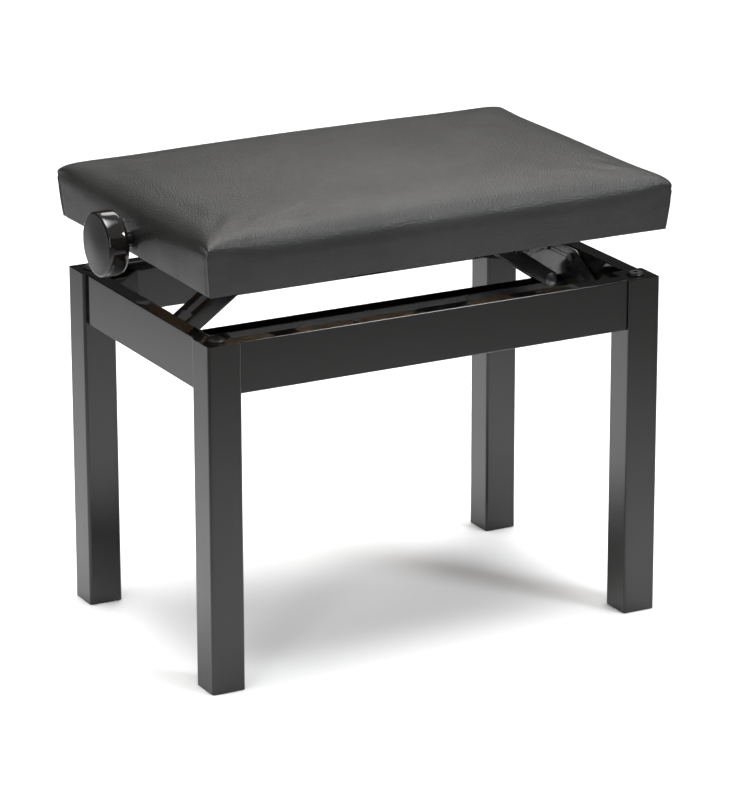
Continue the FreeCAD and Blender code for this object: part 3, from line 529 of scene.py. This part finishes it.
def round_head(bm, place, radius, height):
    """A domed head on place's own X axis, its underside at 0, with a socket and a shank."""
    socket, shank, depth = SOCKET_RADIUS, SHANK_RADIUS, SHANK_LENGTH
    rim = 0.3 * height
    profile = [(-depth, 0), (-depth, shank), (0, shank), (0, radius - 0.3 * MM), (0.3 * MM, radius)]
    profile += bezier((rim, radius), (0.75 * height, 0.96 * radius), (height, 0.72 * radius),
                      (height, 0.5 * radius), 8)
    profile += [(height, 0.5 * radius), (height, socket * 1.16), (height - 0.3 * MM, socket)]
    lathe(bm, profile + [(0.25 * height, socket), (0.18 * height, 0)], place, 48)


class BENCH_OT_bolts(bpy.types.Operator):
    """Make the domed bolts in the leg tops, and finish the hidden corner bolts"""
    bl_idname = "bench.bolts"
    bl_label = "Frame bolts"

    def execute(self, context):
        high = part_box("leg_top_bolts")[1]
        leg_half = (LEG_HIGH.x - LEG_LOW.x) / 2
        radius = high.x - (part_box("leg_front_right")[1].x - leg_half)

        def build(bm):
            for side, sx in SIDES.items():
                for face, sy in FACES.items():
                    leg_low, leg_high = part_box(f"leg_{face}_{side}")
                    foot = Vector(((leg_low.x + leg_high.x) / 2, (leg_low.y + leg_high.y) / 2,
                                   leg_high.z))
                    place = Matrix.Translation(foot) @ Matrix.Rotation(-math.pi / 2, 4, "Y")
                    round_head(bm, place, radius, high.z - leg_high.z)

        heads = join_bmesh("leg_bolt_heads", build)
        set_material(heads, finish("bolt_steel"))
        heads.data.shade_smooth()
        add_modifier(heads, "EDGE_SPLIT", "crisp edges", split_angle=math.radians(50))
        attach(heads, "frame")
        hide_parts("leg_top_bolts")
        dress("corner_bolts", finish("zinc"), 0.5 * MM)
        return {"FINISHED"}


class BENCH_OT_glides(bpy.types.Operator):
    """Finish the glides under the legs"""
    bl_idname = "bench.glides"
    bl_label = "Foot glides"

    def execute(self, context):
        dress("foot_glides", finish("black_plastic"), 0.3 * MM)
        return {"FINISHED"}


# --- lift ----------------------------------------------------------------------------------------
class BENCH_OT_lift_base(bpy.types.Operator):
    """Paint the end plates and the base channel, and finish their screws and hinge pins"""
    bl_idname = "bench.lift_base"
    bl_label = "Lift base"

    def execute(self, context):
        for side in SIDES:
            dress(f"{side}_end_plate", finish("gloss_paint"), 0.6 * MM)
            dress(f"{side}_hinge_pin", finish("bolt_steel"), 0.2 * MM)
        dress("base_channel", finish("gloss_paint"), 0.4 * MM)
        dress("end_plate_screws", finish("bolt_steel"), 0.4 * MM)
        return {"FINISHED"}


class BENCH_OT_lift_arms(bpy.types.Operator):
    """Paint the lift arms and links, and finish their pins"""
    bl_idname = "bench.lift_arms"
    bl_label = "Lift arms"

    def execute(self, context):
        for side in SIDES:
            for face in FACES:
                dress(f"{side}_arm_{face}", finish("gloss_paint"), 0.5 * MM)
                dress(f"{side}_link_{face}", finish("gloss_paint"), 0.4 * MM)
            dress(f"{side}_middle_pin", finish("bolt_steel"), 0.2 * MM)
            dress(f"{side}_link_spacer", finish("zinc"), 0.3 * MM)
        return {"FINISHED"}


class BENCH_OT_nuts(bpy.types.Operator):
    """Finish the two brass nuts"""
    bl_idname = "bench.nuts"
    bl_label = "Nuts"

    def execute(self, context):
        for side in SIDES:
            dress(f"{side}_nut", finish("brass"), 0.7 * MM)
        return {"FINISHED"}


# --- spindle and knob ----------------------------------------------------------------------------
def thread_radius(x, turn, settings):
    """Radius of the spindle at x along the bench; the two ends have threads of opposite hands."""
    reach = abs(x)
    if not settings.thread_start < reach < settings.thread_end:
        return SPINDLE_RADIUS
    hand = 1 if x > 0 else -1
    phase = (x / settings.pitch + hand * turn / (2 * math.pi)) % 1
    flank = min(1, max(0, (abs(phase - 0.5) - 0.14) / 0.22))
    run_out = min(reach - settings.thread_start, settings.thread_end - reach) / (2 * settings.pitch)
    return SPINDLE_RADIUS - settings.depth * (1 - flank) * min(1, run_out)


class BENCH_OT_spindle(bpy.types.Operator):
    """Cut the spindle's two opposite threads, and finish its rings and collar"""
    bl_idname = "bench.spindle"
    bl_label = "Spindle"

    def execute(self, context):
        settings = context.scene.bench_spindle
        segments, per_pitch = 24, 8
        chamfer = 1 * MM
        stations = [SPINDLE_LOW.x, SPINDLE_LOW.x + chamfer]
        step = settings.pitch / per_pitch
        count = round((settings.thread_end - settings.thread_start) / step)
        for start in (-settings.thread_end, settings.thread_start):
            stations += [start + step * index for index in range(count + 1)]
        stations += [SPINDLE_HIGH.x - chamfer, SPINDLE_HIGH.x]

        def build(bm):
            rings = []
            for index, x in enumerate(stations):
                ends = index in (0, len(stations) - 1)
                ring = []
                for spoke in range(segments):
                    turn = 2 * math.pi * spoke / segments
                    radius = thread_radius(x, turn, settings) - (chamfer if ends else 0)
                    ring.append(bm.verts.new((x, radius * math.cos(turn),
                                              SPINDLE_Z + radius * math.sin(turn))))
                rings.append(ring)
            for one, two in zip(rings, rings[1:]):
                for spoke in range(segments):
                    after = (spoke + 1) % segments
                    bm.faces.new((one[spoke], two[spoke], two[after], one[after]))
            bm.faces.new(rings[0])
            bm.faces.new(rings[-1])

        bar = join_bmesh("threaded_spindle", build)
        set_material(bar, finish("zinc"))
        bar.data.shade_smooth()
        add_modifier(bar, "EDGE_SPLIT", "crisp edges", split_angle=math.radians(40))
        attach(bar, "spindle")
        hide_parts("spindle")
        dress("spindle_clips", finish("bolt_steel"), 0.15 * MM)
        dress("knob_collar", finish("gloss_paint"), 0.6 * MM)
        return {"FINISHED"}


def knob_profile(settings):
    """From the spindle's hole in its neck, out over the back, round the rim and up to the face."""
    depth = KNOB_HIGH.x - KNOB_LOW.x + settings.proud
    radius, neck, neck_end = KNOB_RADIUS, settings.neck, 0.06 * depth
    rim_back, rim_front = 0.4 * depth, depth - settings.rim_round
    face_edge = radius - settings.rim_round
    shoulder = (0.15 * depth, 0.64 * radius)
    points = [(0, SPINDLE_RADIUS), (0, neck - 0.6 * MM), (0.6 * MM, neck)]
    points += bezier((neck_end, neck), (neck_end + 1.2 * MM, neck),
                     (0.11 * depth, 0.42 * radius), shoulder, 10)
    points += bezier(shoulder, (0.19 * depth, 0.86 * radius), (0.26 * depth, radius),
                     (rim_back, radius), 14)
    points += bezier((rim_back, radius), (0.66 * depth, radius), (0.76 * depth, radius),
                     (rim_front, radius - 0.5 * MM), 8)
    points += bezier((rim_front, radius - 0.5 * MM),
                     (rim_front + 0.5 * settings.rim_round, radius - 1 * MM),
                     (depth - settings.dome, face_edge + 0.45 * settings.rim_round),
                     (depth - settings.dome, face_edge), 12)
    points += bezier((depth - settings.dome, face_edge),
                     (depth - 0.6 * settings.dome, 0.7 * face_edge),
                     (depth, 0.35 * face_edge), (depth, 0), 10)
    return points + [(depth, 0)]


class BENCH_OT_knob(bpy.types.Operator):
    """Turn the knob"""
    bl_idname = "bench.knob"
    bl_label = "Knob"

    def execute(self, context):
        settings = context.scene.bench_knob
        place = Matrix.Translation((KNOB_HIGH.x, 0, SPINDLE_Z)) @ Matrix.Rotation(math.pi, 4, "Z")

        def build(bm):
            lathe(bm, knob_profile(settings), place, settings.segments)

        knob = join_bmesh("turned_knob", build)
        knob.data.shade_smooth()
        set_material(knob, finish("polished_knob"))
        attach(knob, "spindle")
        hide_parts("knob")
        return {"FINISHED"}


# --- seat ----------------------------------------------------------------------------------------
class BENCH_OT_seat_box(bpy.types.Operator):
    """Finish the seat's boards, brackets, screws, bush and rubber stops"""
    bl_idname = "bench.seat_box"
    bl_label = "Seat box"

    def execute(self, context):
        dress("seat_board", finish("plywood"), 0.4 * MM)
        for name in (*SIDES, *FACES):
            dress(f"seat_side_{name}", finish("plywood"), 0.4 * MM)
        for name in ("left", "centre", "right"):
            dress(f"{name}_bearing", finish("gloss_paint"), 0.4 * MM)
        for side in SIDES:
            dress(f"{side}_link_bracket", finish("gloss_paint"), 0.4 * MM)
        dress("link_bracket_pins", finish("bolt_steel"), 0.2 * MM)
        dress("bracket_screws", finish("zinc"), 0.4 * MM)
        dress("spindle_bush", finish("black_plastic"), 0.4 * MM)
        dress("seat_bumpers", finish("rubber"), 0.4 * MM)
        return {"FINISHED"}


def uneven_steps(reach, fine, cell):
    """Distances from 0 to reach that start fine and grow to about cell."""
    steps, place, width = [0.0], 0.0, fine
    while place < reach - cell:
        place += width
        steps.append(place)
        width = min(cell, width * 1.25)
    if len(steps) == 1:
        return [0.0, reach]
    return [step * reach / steps[-1] for step in steps]


def mirrored(half, fine, cell):
    """Places across a side of the seat, from -half to half, fine near both ends."""
    inwards = uneven_steps(half, fine, cell)
    low = [-half + step for step in inwards]
    return low + [-x for x in reversed(low[:-1])]


def side_top(along, across, settings):
    """Height of the straight side above the hem, given the distances in from both edges."""
    reach = max(along, across)
    rise = settings.corner_height - settings.side_height
    return settings.side_height + rise * math.exp(-(reach / settings.corner_reach) ** 2)


def top_height(x, y, half_x, half_y, settings):
    """Height of the padded top over the point x, y of the seat's outline."""
    along, across = half_x - abs(x), half_y - abs(y)
    inside = along * across / (along + across) if min(along, across) > 0 else 0.0
    share = min(1.0, inside / settings.roll)
    edge = COVER_LOW.z + side_top(along, across, settings)
    crown = PAD_HIGH.z - settings.swell / 2 - settings.crown
    crown += settings.crown * (1 - (x / half_x) ** 2) * (1 - (y / half_y) ** 2)
    rounding = 1 - math.sqrt(max(0.0, 1 - (1 - share) ** settings.fullness))
    return crown - (crown - edge) * rounding


# Rows of the sides, as shares of the way down from the top's edge to the hem.
SIDE_ROWS = (0.1, 0.22, 0.36, 0.5, 0.64, 0.78, 0.9, 0.965, 1.0)
FINEST_CELL = 0.7 * MM
TAPER = 1.3     # how the sides fall back to their hem: 1 is straight


def seat_shell(settings):
    """The outside of the cover as a grid: the top, then the four sides down to the hem."""
    flare = settings.flare
    out_x, out_y = COVER_HIGH.x + flare, COVER_HIGH.y + flare
    xs = mirrored(out_x, FINEST_CELL, settings.cell)
    ys = mirrored(out_y, FINEST_CELL, settings.cell)
    vertices, faces, index = [], [], {}
    for i, x in enumerate(xs):
        for j, y in enumerate(ys):
            index[i, j] = len(vertices)
            pull_x = 1 - settings.pull_in / out_x * (1 - (y / out_y) ** 4)
            pull_y = 1 - settings.pull_in / out_y * (1 - (x / out_x) ** 4)
            z = top_height(x, y, out_x, out_y, settings)
            vertices.append(Vector((x * pull_x, y * pull_y, z)))
    last_i, last_j = len(xs) - 1, len(ys) - 1
    for i in range(last_i):
        for j in range(last_j):
            faces.append((index[i, j], index[i + 1, j], index[i + 1, j + 1], index[i, j + 1]))
    rim = [(i, 0) for i in range(last_i)] + [(last_i, j) for j in range(last_j)]
    rim += [(i, last_j) for i in range(last_i, 0, -1)] + [(0, j) for j in range(last_j, 0, -1)]
    rim_tops = [index[key] for key in rim]
    above = rim_tops
    for drop in SIDE_ROWS:
        below = []
        for (i, j), top in zip(rim, rim_tops):
            high = vertices[top]
            on_end = i in (0, last_i)
            along = ys[j] / out_y if on_end else xs[i] / out_x
            low_z = COVER_LOW.z + settings.hem_lift * (1 - along ** 2)
            narrow_x = high.x * (1 - flare / out_x * drop ** TAPER)
            narrow_y = high.y * (1 - flare / out_y * drop ** TAPER)
            below.append(len(vertices))
            vertices.append(Vector((narrow_x, narrow_y, high.z + (low_z - high.z) * drop)))
        for k in range(len(above)):
            after = (k + 1) % len(above)
            faces.append((above[k], below[k], below[after], above[after]))
        above = below
    return vertices, faces


# The padding's pressure and the cover's give. The cover is free from a height above the board,
# and held fully from a height under it down.
PADDING = {
    "quality": 6,
    "mass": 0.3,
    "tension_stiffness": 30,
    "compression_stiffness": 30,
    "shear_stiffness": 12,
    "bending_stiffness": 2,
    "air_damping": 2,
    "use_pressure": True,
    "uniform_pressure_force": 2.0,
    "vertex_group_mass": "held",
}
PADDING_FRAMES = 20
HELD_BELOW_BOARD, FREE_ABOVE_BOARD = 8 * MM, 6 * MM


def swell_padding(seat, settings):
    """Let the padding push the cover out by cloth simulation, no further than the swell."""
    mesh = seat.data
    rest = [v.co.copy() for v in mesh.vertices]
    held = seat.vertex_groups.new(name="held")
    free_from = BOARD_LOW.z - HELD_BELOW_BOARD
    free_by = BOARD_HIGH.z + FREE_ABOVE_BOARD
    for vertex in mesh.vertices:
        hold = 1 - (vertex.co.z - free_from) / (free_by - free_from)
        if hold > 0:
            held.add([vertex.index], min(1.0, hold), "REPLACE")
    scene = bpy.context.scene
    cloth = seat.modifiers.new("padding", "CLOTH")
    for key, value in PADDING.items():
        setattr(cloth.settings, key, value)
    cloth.settings.effector_weights.gravity = 0
    cloth.collision_settings.use_collision = False
    cloth.point_cache.frame_end = PADDING_FRAMES
    for step in range(1, PADDING_FRAMES + 1):
        scene.frame_set(step)
    graph = bpy.context.evaluated_depsgraph_get()
    moved = [v.co.copy() for v in seat.evaluated_get(graph).data.vertices]
    seat.modifiers.clear()
    seat.vertex_groups.clear()
    for vertex, old, new in zip(mesh.vertices, rest, moved):
        step = new - old
        far = step.length
        corner = math.hypot(COVER_HIGH.x - abs(old.x), COVER_HIGH.y - abs(old.y))
        ease = 1 - math.exp(-(corner / settings.corner_ease) ** 2)
        if far > 0:
            reach = settings.swell * math.tanh(far / settings.swell)
            vertex.co = old + step * (ease * reach / far)
    scene.frame_set(1)


# Each crease: its start under the fold's top in mm and its slope, its reach in mm, and its share
# of the depth.
END_CREASES = ((2, -0.12, 34, 1.3), (14, 0.25, 20, 0.5))
LONG_CREASES = ((10, 0.45, 16, 0.4), (-6, -0.2, 22, 0.5))
FOLD_REGION = 90 * MM       # the cover further from a corner than this is left alone
FOLD_STARTS = 2 * MM        # above the corner's height
FOLD_FADES = 8 * MM
FOLD_DEPTH_IN = 3 * MM      # how far behind a face the fold may reach
PUCKER_REACH = 60 * MM      # on the top, along the diagonal
CREASE_DEPTH_IN = 14 * MM
CREASE_PEAK = 14 * MM       # from the corner to where a crease is deepest


def bell(distance, width):
    return math.exp(-(distance / width) ** 2)


def pinch_corners(seat, settings):
    """Fold the cover down each corner, and crease it where the fold gathers it.

    u and v are a point's distances in from the end face and from the long face of its corner.
    The fold lies on the end face, with the lip of the long face's cover over it.
    """
    half_x, half_y = COVER_HIGH.x + settings.flare, COVER_HIGH.y + settings.flare
    tip_z = COVER_LOW.z + settings.corner_height
    for vertex in seat.data.vertices:
        point = vertex.co
        sx, sy = (1 if point.x > 0 else -1), (1 if point.y > 0 else -1)
        below = tip_z - point.z
        lean = settings.flare * max(0.0, min(1.0, below / settings.corner_height)) ** TAPER
        u = half_x - lean - abs(point.x)
        v = half_y - lean - abs(point.y)
        if u > FOLD_REGION or v > FOLD_REGION:
            continue
        if below > -FOLD_STARTS and min(u, v) < FOLD_DEPTH_IN:
            fade = min(1.0, max(0.0, (below + FOLD_STARTS) / FOLD_FADES))
            side = v if u < v else -u
            slack = 1 + 0.35 * math.sin(below / (6.5 * MM) + sx)
            groove = settings.crease * bell(side - 0.9 * MM, 0.75 * MM) * slack
            hollow = 0.2 * settings.crease * bell(side - 5 * MM, 4.5 * MM)
            lip = 0.15 * settings.crease * bell(side + 1.2 * MM, 1.3 * MM)
            vertex.co -= Vector((sx, 0.35 * sy, 0)) * fade * (groove + hollow - lip)
        diagonal, inwards = (u - v) / math.sqrt(2), (u + v) / math.sqrt(2)
        if below < 6 * MM and inwards < PUCKER_REACH:
            dip = bell(diagonal, 2.2 * MM + 0.16 * inwards) * math.exp(-inwards / (16 * MM))
            vertex.co.z -= settings.gather * dip
        for out, drift, depth, creases in ((Vector((sx, 0, 0)), v, u, END_CREASES),
                                           (Vector((0, sy, 0)), u, v, LONG_CREASES)):
            if depth > CREASE_DEPTH_IN:
                continue
            for start, slope, far, deep in creases:
                width = 2.4 * MM + 0.11 * drift
                crease = bell(below - start * MM - slope * drift, width)
                crease *= bell(drift - CREASE_PEAK, far * MM)
                vertex.co -= out * settings.gather * deep * crease


def open_edge(bm):
    """The vertices round a mesh's one hole, in order."""
    edge = next(edge for edge in bm.edges if edge.is_boundary)
    loop = [edge.verts[0]]
    vertex = edge.verts[1]
    while vertex is not loop[0]:
        loop.append(vertex)
        edge = next(e for e in vertex.link_edges if e.is_boundary and e is not edge)
        vertex = edge.other_vert(vertex)
    return loop


def line_cover(seat, settings):
    """Turn the hem in under the boards and line the cover, so that it is a closed shell."""
    bm = bmesh.new()
    bm.from_mesh(seat.data)
    gap, cloth = 0.15 * MM, 0.8 * MM
    hem_x, hem_y = BOARD_HIGH.x - settings.hem_width, BOARD_HIGH.y - settings.hem_width
    half_x, half_y = BOARD_HIGH.x + gap, BOARD_HIGH.y + gap
    top = BOARD_HIGH.z + gap
    steps = ((hem_x, hem_y, 0.0), (hem_x, hem_y, cloth), (half_x, half_y, cloth),
             (half_x, half_y, top - COVER_LOW.z))
    above = open_edge(bm)
    rim = [v.co.copy() for v in above]
    edge_x, edge_y = max(p.x for p in rim), max(p.y for p in rim)
    for reach_x, reach_y, rise in steps:
        ring = []
        for point in rim:
            x = point.x / edge_x * reach_x
            y = point.y / edge_y * reach_y
            z = (point.z if rise <= cloth else COVER_LOW.z) + rise
            ring.append(bm.verts.new((x, y, min(z, top))))
        for k in range(len(ring)):
            after = (k + 1) % len(ring)
            bm.faces.new((above[k], ring[k], ring[after], above[after]))
        above = ring
    bm.faces.new(above)
    bmesh.ops.recalc_face_normals(bm, faces=bm.faces)
    bm.to_mesh(seat.data)
    bm.free()


class BENCH_OT_cushion(bpy.types.Operator):
    """Upholster the seat: crowned padding under a cover that is folded at its corners"""
    bl_idname = "bench.cushion"
    bl_label = "Upholstered seat"

    def execute(self, context):
        settings = context.scene.bench_seat
        seat = new_object("upholstered_seat", mesh_from("upholstered_seat", *seat_shell(settings)))
        swell_padding(seat, settings)
        add_modifier(seat, "SUBSURF", "smooth cover", levels=1, render_levels=1)
        apply_modifiers(seat)
        pinch_corners(seat, settings)
        line_cover(seat, settings)
        seat.data.shade_smooth()
        set_material(seat, finish("leatherette"))
        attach(seat, "seat")
        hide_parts("cushion", "side_cover")
        return {"FINISHED"}


# --- stage ---------------------------------------------------------------------------------------
def aim_camera(settings):
    """Place the camera by its turn, tilt and lean about the point that it looks at."""
    turn, tilt, lean = settings.turn, settings.tilt, settings.lean
    ahead = Vector((math.sin(turn) * math.cos(tilt), math.cos(turn) * math.cos(tilt),
                    -math.sin(tilt)))
    level = Vector((math.cos(turn), -math.sin(turn), 0))
    upright = level.cross(ahead)
    right = math.cos(lean) * level + math.sin(lean) * upright
    up = -math.sin(lean) * level + math.cos(lean) * upright
    data = bpy.data.cameras.new("camera")
    data.lens = settings.lens
    data.sensor_width = 36
    data.clip_start, data.clip_end = 0.1, 100
    camera = new_object("camera", data)
    place = Matrix((right, up, -ahead)).transposed().to_4x4()
    place.translation = Vector((settings.aim_x, 0, settings.aim_z)) - ahead * settings.distance
    camera.matrix_world = place
    bpy.context.scene.camera = camera


WHITE = (1.0, 1.0, 1.0)
BENCH_MIDDLE = (0, 0, 0.5)

# Each light: place, the point that it faces (None is straight down), size, watts, spread in
# degrees, and tint.
FAR_FLOOR = ((0, 0, 5), None, (16, 16), 330, 180, WHITE)
SIDE_LIGHTS = {
    "front_box": ((1.17, -1.77, 2.0), BENCH_MIDDLE, (0.5, 0.5), 3.2, 50, (0.92, 0.95, 1.0)),
    "back_box": ((1.0, 1.5, 2.1), BENCH_MIDDLE, (1.3, 0.8), 2.2, 70, (1.0, 0.98, 0.95)),
    "left_panel": ((-1.87, -1.61, 1.0), BENCH_MIDDLE, (0.2, 1.2), 1.5, 60, WHITE),
}
CEILING_REACH, CEILING_HEIGHT = 1.35, 2.2
CEILING_SIZE, CEILING_WATTS, CEILING_SPREAD = (2.1, 4.2), 42, 50


def soft_box(name, place, target, size, watts, spread_angle, tint):
    """A rectangular studio light at place that faces target, or straight down."""
    data = bpy.data.lights.new(name, "AREA")
    data.shape = "RECTANGLE"
    data.size, data.size_y = size
    data.energy = watts
    data.spread = math.radians(spread_angle)
    data.color = tint
    lamp = new_object(name, data)
    lamp.location = place
    lamp.rotation_mode = "QUATERNION"
    if target:
        lamp.rotation_quaternion = (Vector(place) - Vector(target)).to_track_quat("Z", "Y")
    return lamp


def ceiling_box(settings):
    """The main light: overhead, past the bench as the camera sees it, long along its view."""
    place = (CEILING_REACH * math.sin(settings.turn), CEILING_REACH * math.cos(settings.turn),
             CEILING_HEIGHT)
    lamp = soft_box("ceiling_box", place, None, CEILING_SIZE, CEILING_WATTS, CEILING_SPREAD, WHITE)
    lamp.rotation_quaternion = Matrix.Rotation(-settings.turn, 3, "Z").to_quaternion()


class BENCH_OT_stage(bpy.types.Operator):
    """Lay the pale floor, and set the lights and the camera"""
    bl_idname = "bench.stage"
    bl_label = "Stage"

    def execute(self, context):
        settings = context.scene.bench_stage
        half = settings.floor_size / 2
        corners = [(-half, -half, 0), (half, -half, 0), (half, half, 0), (-half, half, 0)]
        floor = new_object("floor", mesh_from("floor", corners, [(0, 1, 2, 3)], smooth=False))
        set_material(floor, finish("floor_paper"))
        world = bpy.data.worlds.new("studio")
        world.use_nodes = True
        sky = world.node_tree.nodes["Background"]
        sky.inputs["Color"].default_value = (1, 1, 1, 1)
        sky.inputs["Strength"].default_value = settings.sky
        context.scene.world = world
        context.scene.view_settings.view_transform = "Standard"
        soft_box("far_floor", *FAR_FLOOR)
        ceiling_box(settings)
        for name, light in SIDE_LIGHTS.items():
            soft_box(name, *light)
        aim_camera(settings)
        return {"FINISHED"}


# --- panel and making ----------------------------------------------------------------------------
OPERATORS = (
    BENCH_OT_frame,
    BENCH_OT_bolts,
    BENCH_OT_glides,
    BENCH_OT_lift_base,
    BENCH_OT_lift_arms,
    BENCH_OT_nuts,
    BENCH_OT_spindle,
    BENCH_OT_knob,
    BENCH_OT_seat_box,
    BENCH_OT_cushion,
    BENCH_OT_stage,
)


class BENCH_PT_panel(bpy.types.Panel):
    """Lists the bench's operators and settings"""
    bl_idname = "BENCH_PT_panel"
    bl_label = "Piano Bench"
    bl_space_type = "VIEW_3D"
    bl_region_type = "UI"
    bl_category = "Piano Bench"

    def draw(self, context):
        column = self.layout.column(align=True)
        for operator in OPERATORS:
            column.operator(operator.bl_idname)
        for name, group in SETTINGS.items():
            box = self.layout.box()
            for prop in group.__annotations__:
                box.prop(getattr(context.scene, name), prop)


CLASSES = (*SETTINGS.values(), *OPERATORS, BENCH_PT_panel)


def register():
    for cls in CLASSES:
        bpy.utils.register_class(cls)
    for name, group in SETTINGS.items():
        setattr(bpy.types.Scene, name, bpy.props.PointerProperty(type=group))


def unregister():
    for name in SETTINGS:
        delattr(bpy.types.Scene, name)
    for cls in reversed(CLASSES):
        bpy.utils.unregister_class(cls)


def main():
    """Make every piece and the stage."""
    register()
    for operator in OPERATORS:
        group, name = operator.bl_idname.split(".")
        getattr(getattr(bpy.ops, group), name)()


if __name__ == "__main__":
    main()
